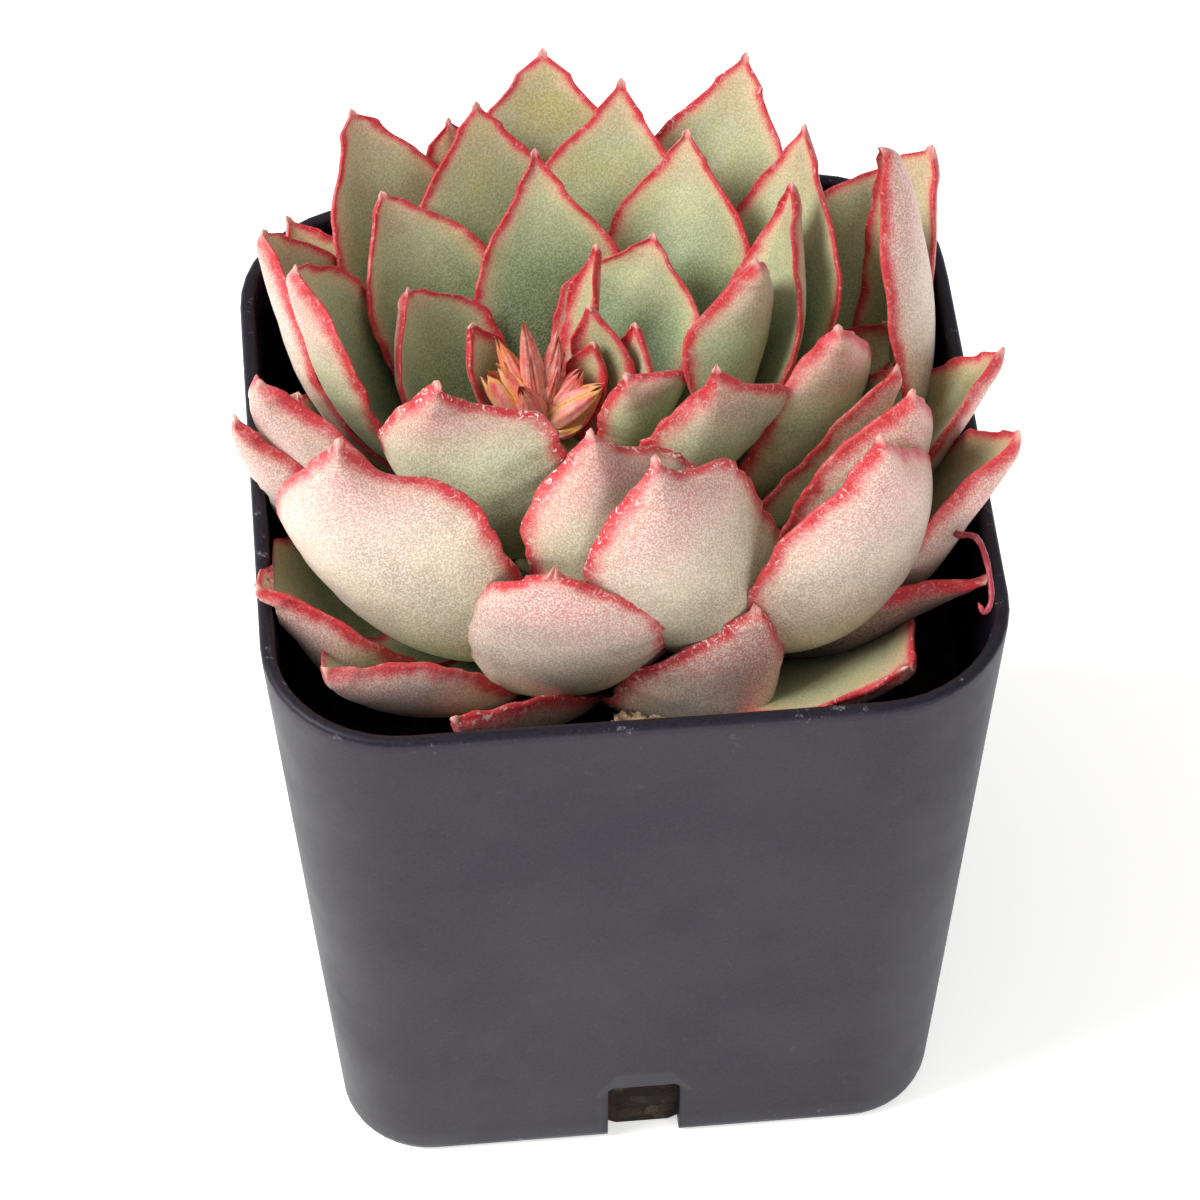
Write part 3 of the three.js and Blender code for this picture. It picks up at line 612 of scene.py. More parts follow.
def peat(tree):
    """Moist peat and bark. Dark and rough, with paler bits of bark and fibre."""
    soil = bpy.context.scene.succulent_soil
    place = node(tree, "TexCoord").outputs["Object"]
    # Crumbs of about 1 mm and dust of 0.3 mm.
    crumb = node(tree, "TexVoronoi", {"Vector": place, "Scale": 1000})
    dust = node(tree, "TexNoise", {"Vector": place, "Scale": 3000, "Detail": 4, "Roughness": 0.7})
    shade = node(tree, "ValToRGB", {"Fac": crumb.outputs["Color"]}, stops=[
        (0.0, "#17110D"), (0.5, soil.colour), (0.85, "#43342A"), (1.0, "#6A5645")])
    mixed = node(tree, "Mix", {0: dust, 6: shade, 7: "#1D1611"}, data_type="RGBA")
    relief = node(tree, "Bump", {"Height": dust, "Strength": 0.8, "Distance": 0.3 * MM})
    return node(tree, "BsdfPrincipled", {
        "Base Color": mixed, "Roughness": 0.95, "IOR": 1.35, "Normal": relief})


def stem_bark(tree):
    """Young green stem that corks with age, ringed by the scars of fallen leaves."""
    place = node(tree, "TexCoord").outputs["Object"]
    # Corky patches of 1.5 mm.
    cork = node(tree, "TexNoise", {"Vector": place, "Scale": 660, "Detail": 4})
    colour = node(tree, "ValToRGB", {"Fac": cork}, stops=[
        (0.3, "#6F7B4E"), (0.5, "#8D9066"), (0.7, "#A08D6B")])
    relief = node(tree, "Bump", {"Height": cork, "Strength": 0.5, "Distance": 0.2 * MM})
    return node(tree, "BsdfPrincipled", {
        "Base Color": colour, "Roughness": 0.7, "IOR": 1.42, "Normal": relief})


def root_skin(tree):
    """Young aerial root. Smooth, wet-looking and pink to red."""
    bud = bpy.context.scene.succulent_bud
    place = node(tree, "TexCoord").outputs["Object"]
    # Blotches of 0.8 mm.
    blotch = node(tree, "TexNoise", {"Vector": place, "Scale": 1200, "Detail": 3})
    colour = node(tree, "ValToRGB", {"Fac": blotch}, stops=[
        (0.3, "#8C3240"), (0.5, bud.root_colour), (0.8, "#C9727A")])
    relief = node(tree, "Bump", {"Height": blotch, "Strength": 0.3, "Distance": 0.1 * MM})
    return node(tree, "BsdfPrincipled", {
        "Base Color": colour, "Roughness": 0.4, "IOR": 1.4, "Subsurface Weight": 0.2,
        "Subsurface Radius": (1.0, 0.4, 0.3), "Subsurface Scale": 0.5 * MM, "Normal": relief})


def dry_skin(tree):
    """A dead leaf, dried to paper. Light brown, wrinkled and dull."""
    place = node(tree, "TexCoord").outputs["Object"]
    # Wrinkles 0.6 mm apart.
    wrinkle = node(tree, "TexNoise", {"Vector": place, "Scale": 1600, "Detail": 4, "Distortion": 1})
    colour = node(tree, "ValToRGB", {"Fac": wrinkle}, stops=[
        (0.3, "#6E5540"), (0.5, "#A78C6C"), (0.7, "#CDB694")])
    relief = node(tree, "Bump", {"Height": wrinkle, "Strength": 0.8, "Distance": 0.2 * MM})
    return node(tree, "BsdfPrincipled", {
        "Base Color": colour, "Roughness": 0.85, "IOR": 1.4, "Normal": relief})


def studio_paper(tree):
    """Matte white paper on a light table. The light that comes through it leaves no shadow."""
    stage = bpy.context.scene.succulent_stage
    place = node(tree, "TexCoord").outputs["Object"]
    # Fibres of 2 mm, barely visible.
    fibre = node(tree, "TexNoise", {"Vector": place, "Scale": 500, "Detail": 2})
    tone = node(tree, "MapRange", {"Value": fibre, "To Min": 0.99, "To Max": 1.0})
    colour = node(tree, "VectorMath", {0: stage.floor_colour[:], "Scale": tone}, operation="SCALE")
    return node(tree, "BsdfPrincipled", {
        "Base Color": colour, "Roughness": 0.95, "IOR": 1.45, "Emission Color": (1, 1, 1),
        "Emission Strength": stage.table_light})


# ---- Leaf shape ----

FINE_STATIONS = np.concatenate([np.linspace(0, 0.86, 44), np.linspace(0.875, 0.985, 16), [0.993, 1.0]])
FINE_COLUMNS = np.sin(np.linspace(-1, 1, 33) * math.pi / 2 * 0.8) / math.sin(math.pi / 2 * 0.8)
COARSE_STATIONS = np.linspace(0, 0.99, 18)
COARSE_COLUMNS = np.linspace(-1, 1, 11)


def outline(u, widest, peak):
    """Half the blade's width at u along the leaf, as a share of its widest place."""
    rising = LEAF_FOOT_WIDTH + (1 - LEAF_FOOT_WIDTH) * np.sin(np.pi / 2 * np.clip(u / widest, 0, 1)) ** 1.3
    past = np.clip((u - widest) / (1 - widest), 0, 1)
    point = 0.3 * peak
    blunt = 1 - np.clip(past / (1 - point), 0, 1) ** 2.6
    drawn_out = POINT_WIDTH * np.clip((1 - past) / point, 0, 1) ** 1.2
    falling = np.hypot(blunt, drawn_out) / math.hypot(1, POINT_WIDTH)
    return np.where(u < widest, rising, falling)


def leaf_frame(row, u):
    """Centre, along, across and face vectors of a leaf at each u, and the leaf's length."""
    flat = direction(row["turn"], 0)
    start = PLANT + flat * row["start"] + (0, 0, row["foot"])
    tip = PLANT + flat * row["reach"] + (0, 0, row["height"])
    length = np.linalg.norm(tip - start)
    rise = math.degrees(math.asin((tip - start)[2] / length))
    first = start + direction(row["turn"] - row["sway"] / 2, rise - row["curl"] / 2) * length * row["belly"]
    second = tip - direction(row["turn"] + row["sway"] / 2, rise + row["curl"] / 2) * length * PLAIN["belly"]
    t = u[:, None]
    back = 1 - t
    centre = back ** 3 * start + 3 * back ** 2 * t * first + 3 * back * t ** 2 * second + t ** 3 * tip
    along = unit(back ** 2 * (first - start) + 2 * back * t * (second - first) + t ** 2 * (tip - second))
    normal = unit(np.cross(along, direction(row["turn"] + 90, 0)))
    side = np.cross(normal, along)
    twist = (math.radians(row["roll"]) * u ** 0.8)[:, None]
    across = side * np.cos(twist) + normal * np.sin(twist)
    face = normal * np.cos(twist) - side * np.sin(twist)
    return centre, along, across, face, length


def leaf_sheet(row, u, v, seed=0, waved=True):
    """Points of a leaf's upper face on the grid u by v, with what else its body needs."""
    leaf = bpy.context.scene.succulent_leaf
    centre, along, across, face, length = leaf_frame(row, u)
    left = outline(u, row["widest"] + row["skew"], row["peak"])[:, None]
    right = outline(u, row["widest"] - row["skew"], row["peak"])[:, None]
    share = np.where(v[None, :] > 0, left, right)
    half = row["width"] / 2 * share * (1 + row["lean"] * np.sign(v))
    if waved:
        s = u * length
        ragged = row["ruffle"] * smooth_step((u - 0.25) / 0.3)
        for sign, column in ((1, v > 0), (-1, v < 0)):
            nicks = ragged * waves(s, seed * 7 + sign, ((5, 0.5), (2.2, 0.45), (1.1, 0.25)))
            half[:, column] += nicks[:, None] * np.minimum(share[:, column], 1)
    half = np.maximum(half, leaf.point / MM * 0.6 * smooth_step(u * 4)[:, None])
    bend = (math.radians(row["cup"]) * np.minimum(0.35 + 0.9 * u, 1.15))[:, None]
    sideways = half * np.sin(bend * v) / bend
    lift = half * (1 - np.cos(bend * v)) / bend
    if waved:
        for sign in (1, -1):
            strip = np.clip(sign * v, 0, 1)[None, :] ** 4
            flutter = ragged * waves(u * length, seed * 11 + sign, ((7, 0.9), (3, 0.6)))
            lift = lift + flutter[:, None] * strip
    points = centre[:, None] + across[:, None] * sideways[..., None] + face[:, None] * lift[..., None]
    swell = 0.55 + 0.45 * np.sin(np.pi * np.minimum(u / 0.8, 1))
    width_share = (left + right) / 2
    thick = leaf.thickness * row["width"] * swell[:, None] * np.sqrt(width_share)
    depth = thick * (1 - np.abs(v)[None, :] ** 2.3)
    edge = leaf.edge / MM * np.minimum(1, 3 * width_share + 0.6)
    outward = across[:, None] * np.cos(bend * v)[..., None] + face[:, None] * np.sin(bend * v)[..., None]
    return {"upper": points, "depth": depth, "edge": edge, "face": face, "along": along, "half": half,
            "outward": outward, "length": length}


def closed_faces(count_u, count_v):
    """Quads of a coarse leaf body: upper grid, then lower grid."""
    faces = []
    for i in range(count_u - 1):
        for j in range(count_v - 1):
            a = i * count_v + j
            b = a + count_v
            faces.append((a, b, b + 1, a + 1))
            low = count_u * count_v
            faces.append((low + a, low + a + 1, low + b + 1, low + b))
    return faces


def press(row, younger):
    """How far, at each coarse grid point, an older leaf gives way to the younger ones on it."""
    sheet = leaf_sheet(row, COARSE_STATIONS, COARSE_COLUMNS, waved=False)
    need = np.zeros(sheet["upper"].shape[:2])
    if not younger:
        return need
    points = []
    faces = []
    for body_points, body_faces in younger:
        faces += [tuple(k + len(points) for k in f) for f in body_faces]
        points += body_points
    tree = BVHTree.FromPolygons(points, faces)
    for i in range(need.shape[0]):
        face = Vector(sheet["face"][i])
        for j in range(need.shape[1]):
            start = Vector(sheet["upper"][i, j]) - face * PRESS_REACH
            place, normal, _, distance = tree.ray_cast(start, face, PRESS_REACH + 2 * PRESS_GAP)
            if place is not None and normal.dot(face) < 0:
                need[i, j] = PRESS_REACH + PRESS_GAP - distance
    # The foot of a leaf stays where it grows from the stem.
    return spread(np.clip(need, 0, PRESS_MOST) * smooth_step((COARSE_STATIONS - 0.12) / 0.3)[:, None])


def blurred(grid):
    """Each value's mean with its eight neighbours."""
    rows, columns = grid.shape
    padded = np.pad(grid, 1, mode="edge")
    return np.mean([padded[a:a + rows, b:b + columns] for a in range(3) for b in range(3)], axis=0)


def spread(need):
    """The needs, widened to neighbouring points and then smoothed."""
    wide = need
    for _ in range(7):
        wide = np.maximum(blurred(wide), need)
    return blurred(wide)


def resample(grid, u, v):
    """A coarse grid's values at finer stations and columns."""
    rows = np.array([np.interp(u, COARSE_STATIONS, grid[:, j]) for j in range(grid.shape[1])])
    return np.array([np.interp(v, COARSE_COLUMNS, rows[:, i]) for i in range(len(u))])


def pot_size(height):
    """Width and corner radius of the pot's outer face at a height."""
    share = np.clip(height / POT_HEIGHT, 0, 1)
    return POT_BOTTOM + (POT_TOP - POT_BOTTOM) * share, CORNER_BOTTOM + (CORNER_TOP - CORNER_BOTTOM) * share


def clear_of_wall(points):
    """Points moved inward where they would be in the pot's wall, so that leaves rest on its rim."""
    wall = bpy.context.scene.succulent_pot.wall / MM
    width, corner = pot_size(points[..., 2])
    flat = points[..., :2]
    over = np.abs(flat) - (width / 2 - corner)[..., None]
    outside = np.maximum(over, 0)
    reach = np.linalg.norm(outside, axis=-1)
    depth = reach + np.minimum(over.max(axis=-1), 0) - corner
    straight = np.where(over[..., :1] > over[..., 1:], (1.0, 0.0), (0.0, 1.0))
    round_corner = outside / np.maximum(reach, 1e-6)[..., None]
    way = np.where((reach > 0)[..., None], round_corner, straight) * np.sign(flat)
    # Above the rim a leaf may lean out over it again.
    room = WALL_GAP - 2.5 * np.maximum(points[..., 2] - POT_HEIGHT - 0.2, 0)
    give = np.clip(depth + wall + room, 0, 5)
    moved = points.copy()
    moved[..., :2] -= way * give[..., None]
    return moved


def leaf_piece(name, row, pressed, seed, material):
    """One fleshy leaf: cupped upper face, full lower face, rounded margin and a small spine."""
    u = FINE_STATIONS
    v = FINE_COLUMNS
    sheet = leaf_sheet(row, u, v, seed)
    give = resample(pressed, u, v)[..., None]
    face = sheet["face"][:, None]
    upper = sheet["upper"] - face * give
    edge = sheet["edge"][..., None] * np.ones_like(give)
    # A low keel runs along the back of the leaf below its tip.
    keel = 0.35 * np.exp(-(v / 0.12) ** 2)[None, :] * smooth_step((u - 0.7) / 0.25)[:, None]
    keel = keel[..., None] * (1 - u[:, None, None]) * 1.5
    lower = upper - face * (edge + sheet["depth"][..., None] + keel)
    rounds = []
    for column, sign in ((-1, 1), (0, -1)):
        middle = (upper[:, column] + lower[:, column]) / 2
        radius = edge[:, column] / 2
        out = sheet["outward"][:, column] * sign
        up = sheet["face"] * sign
        turned = [middle + out * radius * math.cos(a) + up * radius * math.sin(a) for a in (-0.9, 0, 0.9)]
        rounds.append(np.stack(turned, axis=1))
    ring = np.concatenate([lower, rounds[0], upper[:, ::-1], rounds[1]], axis=1)
    count = ring.shape[1]
    point = bpy.context.scene.succulent_leaf.point / MM
    midrib = len(v) // 2
    tip = upper[-1, midrib] + sheet["along"][-1] * point
    points = np.concatenate([ring.reshape(-1, 3), [(upper[0, midrib] + lower[0, midrib]) / 2, tip]])
    points = clear_of_wall(points)
    rim = sheet["half"] * (1 - np.abs(v))[None, :]
    rim = np.minimum(rim, ((1 - u) * sheet["length"])[:, None])
    zeros = np.zeros((len(u), 3))
    rims = np.concatenate([rim, zeros, rim[:, ::-1], zeros], axis=1)
    inner = np.concatenate([np.zeros_like(rim), zeros + 0.5, np.ones_like(rim), zeros + 0.5], axis=1)
    # The last two values are those of the skin's closing points, at the foot and the tip.
    attributes = {
        "rim": np.append(rims.ravel(), (1, 0)),
        "inner": np.append(inner.ravel(), (0.5, 0.5)),
        "along": np.append(np.repeat(u, count), (0, 1)),
    }
    for key in ("blush", "age", "tan_and_shade", "scar", "cream"):
        attributes[key] = np.full(len(points), row[key])
    return piece(name, points, skin_faces(len(u), count), material, [name], attributes)


STANDING = []
PRESSED = {}


def settle_leaves():
    """Work out, from the youngest leaf to the oldest, how each gives way to those inside it."""
    if PRESSED:
        return
    rows = []
    for whorl, table in WHORLS.items():
        for number, row in enumerate(table, 1):
            rows.append((f"{whorl}_leaf_{number}", {**PLAIN, **row}))
    rows.sort(key=lambda item: -item[1]["foot"])
    faces = closed_faces(len(COARSE_STATIONS), len(COARSE_COLUMNS))
    for name, row in rows:
        pressed = press(row, STANDING)
        PRESSED[name] = pressed
        sheet = leaf_sheet(row, COARSE_STATIONS, COARSE_COLUMNS, waved=False)
        face = sheet["face"][:, None]
        upper = sheet["upper"] - face * pressed[..., None]
        lower = upper - face * (sheet["edge"] + sheet["depth"])[..., None]
        points = [tuple(p) for p in np.concatenate([upper.reshape(-1, 3), lower.reshape(-1, 3)])]
        STANDING.append((points, faces))


def make_whorl(whorl):
    """All leaves of one whorl."""
    settle_leaves()
    material = finished("Waxy_leaf_skin", leaf_skin)
    for number, row in enumerate(WHORLS[whorl], 1):
        name = f"{whorl}_leaf_{number}"
        seed = list(WHORLS).index(whorl) * 20 + number
        leaf_piece(name, {**PLAIN, **row}, PRESSED[name], seed, material)


# ---- Operators ----


class SUCCULENT_OT_stage(bpy.types.Operator):
    """Camera, floor and soft studio light"""

    bl_idname = "succulent.stage"
    bl_label = "Stage"

    def execute(self, context):
        scene = context.scene
        stage = scene.succulent_stage
        back = Vector((math.sin(stage.azimuth) * math.cos(stage.elevation),
                       -math.cos(stage.azimuth) * math.cos(stage.elevation), math.sin(stage.elevation)))
        data = bpy.data.cameras.new("Camera")
        data.sensor_width = 36
        data.lens = stage.lens
        data.clip_start = 10 * MM
        data.clip_end = 10
        camera = bpy.data.objects.new("Camera", data)
        camera.location = Vector(stage.target) + back * stage.distance
        camera.rotation_mode = "QUATERNION"
        look = (-back).to_track_quat("-Z", "Y")
        camera.rotation_quaternion = look @ Matrix.Rotation(stage.lean, 4, "Z").to_quaternion()
        scene.collection.objects.link(camera)
        scene.camera = camera

        sheet = bpy.data.meshes.new("studio_floor")
        size = 1.5
        corners = [(-size, -size, 0), (size, -size, 0), (size, size, 0), (-size, size, 0)]
        sheet.from_pydata(corners, [], [(0, 1, 2, 3)])
        sheet.materials.append(finished("White_studio_paper", studio_paper))
        floor = bpy.data.objects.new("studio_floor", sheet)
        scene.collection.objects.link(floor)

        lamps = (
            ("Key", (-0.5, -0.06, 0.54), 0.4, stage.key_power),
            ("Fill", (0.35, -0.6, 0.25), 0.5, stage.key_power * 0.24),
        )
        for name, place, width, power in lamps:
            lamp = bpy.data.lights.new(name, "AREA")
            lamp.shape = "DISK"
            lamp.size = width
            lamp.energy = power
            holder = bpy.data.objects.new(name, lamp)
            holder.location = place
            holder.rotation_mode = "QUATERNION"
            holder.rotation_quaternion = (Vector((0, 0, 0.05)) - Vector(place)).to_track_quat("-Z", "Y")
            scene.collection.objects.link(holder)

        world = bpy.data.worlds.new("White surround")
        world.use_nodes = True
        world.node_tree.nodes.clear()
        surround = node(world.node_tree, "Background", {"Color": (1, 1, 1), "Strength": stage.sky_strength})
        node(world.node_tree, "OutputWorld", {"Surface": surround})
        scene.world = world
        scene.view_settings.view_transform = "Standard"
        return {"FINISHED"}


def square_ring(width, corner, height, steps=10):
    """A level ring of points around a rounded square, with extra points along each side."""
    ring = []
    reach = width / 2 - corner
    for quarter in range(4):
        middle = direction(45 + 90 * quarter, 0) * reach * math.sqrt(2)
        for step in range(steps + 1):
            spoke = direction(90 * (quarter + step / steps), 0) * corner
            ring.append(middle + spoke + (0, 0, height))
        start = ring[-1]
        middle = direction(135 + 90 * quarter, 0) * reach * math.sqrt(2)
        end = middle + direction(90 * (quarter + 1), 0) * corner + (0, 0, height)
        ring += [start + (end - start) * k / 16 for k in range(1, 16)]
    return np.array(ring)


def pot_ring(height, inside):
    """The ring that lies a distance inside the pot's outer face at a height."""
    width, corner = pot_size(height)
    return square_ring(width - 2 * inside, max(corner - inside, 0.5), height)


class SUCCULENT_OT_pot(bpy.types.Operator):
    """Moulded square pot with drain notches"""

    bl_idname = "succulent.pot"
    bl_label = "Pot"

    def execute(self, context):
        settings = context.scene.succulent_pot
        wall = settings.wall / MM
        floor = settings.floor / MM
        lip = wall / 2
        # (height, distance inside the outer face, how rubbed) from the foot up, over the lip and down.
        profile = [(0, 1.2, 0.6), (0.12, 0.6, 0.9), (0.45, 0.15, 0.9), (1.1, 0, 0.4)]
        profile += [(h, 0, 0.05) for h in np.linspace(3, POT_HEIGHT - 2.5, 16)]
        profile += [(POT_HEIGHT - 1.2, 0, 0.25)]
        for angle in np.linspace(0, 180, 9):
            turn = math.radians(angle)
            height = POT_HEIGHT - lip * 0.8 + lip * 0.8 * math.sin(turn)
            profile.append((height, lip - lip * math.cos(turn), 1 - 0.25 * abs(math.cos(turn))))
        profile += [(h, wall, 0.1) for h in np.linspace(POT_HEIGHT - 1.5, floor + 1, 12)]
        profile += [(floor + 0.3, wall + 0.2, 0), (floor, wall + 0.9, 0)]
        rings = [pot_ring(height, inside) for height, inside, _ in profile]
        count = len(rings[0])
        drift = waves(np.arange(count) * 360 / count, 3, ((120, 0.08), (70, 0.05)))
        for ring, (height, _, _) in zip(rings, profile):
            # Thin walls bow a little between the corners.
            outward = unit(ring * (1, 1, 0))
            ring -= outward * (0.12 + drift)[:, None] * smooth_step(height / POT_HEIGHT) * 0.8
        points = np.concatenate(rings + [np.array([[0, 0, 0.0], [0, 0, floor]])])
        rubbed = np.repeat([worn for _, _, worn in profile], count)
        rubbed = np.append(rubbed, (0.3, 0))
        plastic = finished("Moulded_black_polypropylene", pot_plastic)
        faces = skin_faces(len(rings), count)
        made = piece("moulded_pot", points, faces, plastic, ["pot"], {"rubbed": rubbed})
        wide = NOTCH_WIDTH / 2
        top = NOTCH_HEIGHT
        bevel = 0.4
        opening = [(-wide, -1), (wide, -1), (wide, top - bevel), (wide - bevel, top), (bevel - wide, top),
                   (-wide, top - bevel)]
        near = [(x, -POT_BOTTOM / 2 - NOTCH_DEPTH, z) for x, z in opening]
        far = [(x, NOTCH_DEPTH - POT_BOTTOM / 2, z) for x, z in opening]
        walls = [(k, k + 6, (k + 1) % 6 + 6, (k + 1) % 6) for k in range(6)]
        for side in range(4):
            notch = bpy.data.meshes.new("notch")
            turn = Matrix.Rotation(math.radians(90 * side), 3, "Z")
            notch.from_pydata([turn @ Vector(p) * MM for p in near + far], [],
                              walls + [tuple(range(6)), tuple(range(11, 5, -1))])
            cutter = bpy.data.objects.new("notch", notch)
            context.scene.collection.objects.link(cutter)
            cut = made.modifiers.new("Notch", "BOOLEAN")
            cut.object = cutter
            cut.operation = "DIFFERENCE"
            cut.solver = "EXACT"
            settled = bpy.data.meshes.new_from_object(made.evaluated_get(context.evaluated_depsgraph_get()))
            made.modifiers.clear()
            made.data = settled
            bpy.data.objects.remove(cutter)
        return {"FINISHED"}


class SUCCULENT_OT_soil(bpy.types.Operator):
    """Potting mix with crumbs on its surface"""

    bl_idname = "succulent.soil"
    bl_label = "Soil"

    def execute(self, context):
        settings = context.scene.succulent_soil
        draw = np.random.default_rng(SEED)
        draw_foot = np.random.default_rng(SEED + 1)
        inside = context.scene.succulent_pot.wall / MM + SOIL_GAP
        # The mix has settled into the drain notches, down to just above the foot.
        rings = [pot_ring(SOIL_BOTTOM, NOTCH_DEPTH + SOIL_GAP), pot_ring(SOIL_BOTTOM, inside)]
        foot = rings[-1]
        aside = np.minimum(abs(foot[:, 0]), abs(foot[:, 1]))
        foot[:, 2] -= 1.3 * (1 - smooth_step((aside - NOTCH_WIDTH / 2 + 0.2) / 0.4))
        rings += [pot_ring(h, inside) for h in (2.5, 4, 5.5, 7, 9, 20, 34, SOIL_LEVEL - 1.5)]
        for ring in rings[2:6]:
            ring[:, :2] *= (1 - 0.02 * draw_foot.uniform(0, 1, len(ring)))[:, None]
        rim = pot_ring(SOIL_LEVEL, inside)
        centre = PLANT + (0, 0, SOIL_LEVEL + SOIL_MOUND)
        steps = 26
        for k in range(steps):
            share = k / steps
            ring = rim + (centre - rim) * share
            ring[:, 2] = SOIL_LEVEL + SOIL_MOUND * smooth_step(share)
            x, y = ring[:, 0], ring[:, 1]
            lumps = np.sin(x * 1.9 + 2 * np.sin(y * 0.9)) * np.sin(y * 2.1 + 1.7 * np.sin(x * 1.1))
            lumps += 0.5 * np.sin(x * 4.3 + y * 1.3) * np.sin(y * 4.9 - x * 0.7)
            jitter = draw.uniform(-0.25, 0.25, len(ring)) * (1 - share)
            ring[:, 2] += settings.lump / MM * (0.35 * lumps + jitter)
            rings.append(ring)
        points = np.concatenate(rings + [np.array([[0, 0, SOIL_BOTTOM], centre])])
        faces = skin_faces(len(rings), len(rim))
        base = len(points)
        parts = [points]
        cube = unit(np.array([(a, b, c) for a in (-1, 1) for b in (-1, 1) for c in (-1, 1)], dtype=float))
        for _ in range(settings.crumbs):
            x, y = draw.uniform(-25, 25, 2)
            size = draw.uniform(0.35, 1.1)
            # Crumbs lie inside the wall's rounded square, whose corners turn about 16.5 mm out.
            if math.hypot(max(abs(x) - 16.5, 0), max(abs(y) - 16.5, 0)) > 8.4:
                continue
            corners = cube * size * draw.uniform(0.6, 1.1, (8, 3))
            spin = np.array(Matrix.Rotation(draw.uniform(0, 6.28), 3, draw.uniform(-1, 1, 3)))
            parts.append(corners @ spin.T + (x, y, SOIL_LEVEL + draw.uniform(0.1, 0.8)))
            for f in ((0, 1, 3, 2), (4, 6, 7, 5), (0, 4, 5, 1), (2, 3, 7, 6), (0, 2, 6, 4), (1, 5, 7, 3)):
                faces.append([base + k for k in f])
            base += len(corners)
        piece("potting_mix", np.concatenate(parts), faces, finished("Moist_peat", peat), ["soil"],
              smooth=False)
        return {"FINISHED"}


class SUCCULENT_OT_stem(bpy.types.Operator):
    """Short stem and flower stalk"""

    bl_idname = "succulent.stem"
    bl_label = "Stem"

    def execute(self, context):
        profile = [(4.4, STEM_BOTTOM), (4.5, 44), (4.2, 48), (4.1, 52), (3.4, 55), (2.6, 58), (1.5, 58.8),
                   (1.2, STEM_TOP)]
        heights = np.linspace(STEM_BOTTOM, STEM_TOP, 60)
        radii = np.interp(heights, [h for _, h in profile], [r for r, _ in profile])
        # Leaf scars ring the stem every 1.6 and 3 mm or so.
        radii = radii + waves(heights, 8, ((1.6, 0.12), (3, 0.1)))
        rings = []
        for height, radius in zip(heights, radii):
            ring = [PLANT + direction(10 * k, 0) * radius + (0, 0, height) for k in range(36)]
            rings.append(np.array(ring))
        points = np.concatenate(rings + [PLANT + np.array([(0, 0, STEM_BOTTOM), (0, 0, STEM_TOP + 0.2)])])
        bark = finished("Corky_green_stem", stem_bark)
        piece("corky_stem", points, skin_faces(len(rings), 36), bark, ["stem"])
        return {"FINISHED"}


class SUCCULENT_OT_heart_leaves(bpy.types.Operator):
    """Smallest leaves around the buds"""

    bl_idname = "succulent.heart_leaves"
    bl_label = "Heart leaves"

    def execute(self, context):
        make_whorl("heart")
        return {"FINISHED"}


class SUCCULENT_OT_inner_leaves(bpy.types.Operator):
    """Young leaves inside the rosette"""

    bl_idname = "succulent.inner_leaves"
    bl_label = "Inner leaves"

    def execute(self, context):
        make_whorl("inner")
        return {"FINISHED"}


class SUCCULENT_OT_middle_leaves(bpy.types.Operator):
    """Full grown leaves"""

    bl_idname = "succulent.middle_leaves"
    bl_label = "Middle leaves"

    def execute(self, context):
        make_whorl("middle")
        return {"FINISHED"}


class SUCCULENT_OT_outer_leaves(bpy.types.Operator):
    """Oldest leaves, lowest on the stem"""

    bl_idname = "succulent.outer_leaves"
    bl_label = "Outer leaves"

    def execute(self, context):
        make_whorl("outer")
        return {"FINISHED"}


def petal(base, axis, phase, tall, radius, half_angle, thick):
    """Rings of one petal, curved about a bud's axis, its tip, and each point's distance to its edge."""
    one = unit(np.cross(axis, (0.3, 1, 0.1)))
    two = np.cross(axis, one)
    t = np.linspace(0, 1, len(radius))
    w = np.linspace(-1, 1, 13)
    angle = phase + 0.35 * t[:, None] + half_angle[:, None] * w
    ridge = 0.06 * np.cos(w * 9 + phase)[None, :] * np.sin(np.pi * t)[:, None]
    outer = radius[:, None] * (1 - 0.16 * w ** 2) + ridge + 0.06
    inner = outer - thick * (1 - 0.6 * w ** 2) * np.minimum(1, (1.02 - t) * 6)[:, None]
    rings = []
    for turned, shell in ((angle, outer), (angle[:, ::-1], inner[:, ::-1])):
        spoke = np.cos(turned)[..., None] * one + np.sin(turned)[..., None] * two
        rings.append(base + axis * (t * tall)[:, None, None] + spoke * shell[..., None])
    ring = np.concatenate(rings, axis=1)
    rim = np.abs(half_angle[:, None] * (1 - np.abs(w))) * np.maximum(radius[:, None], 0.2)
    tip = ring[-1].mean(axis=0) + axis * 0.2
    return ring, tip, np.concatenate([rim, rim[:, ::-1]], axis=1)


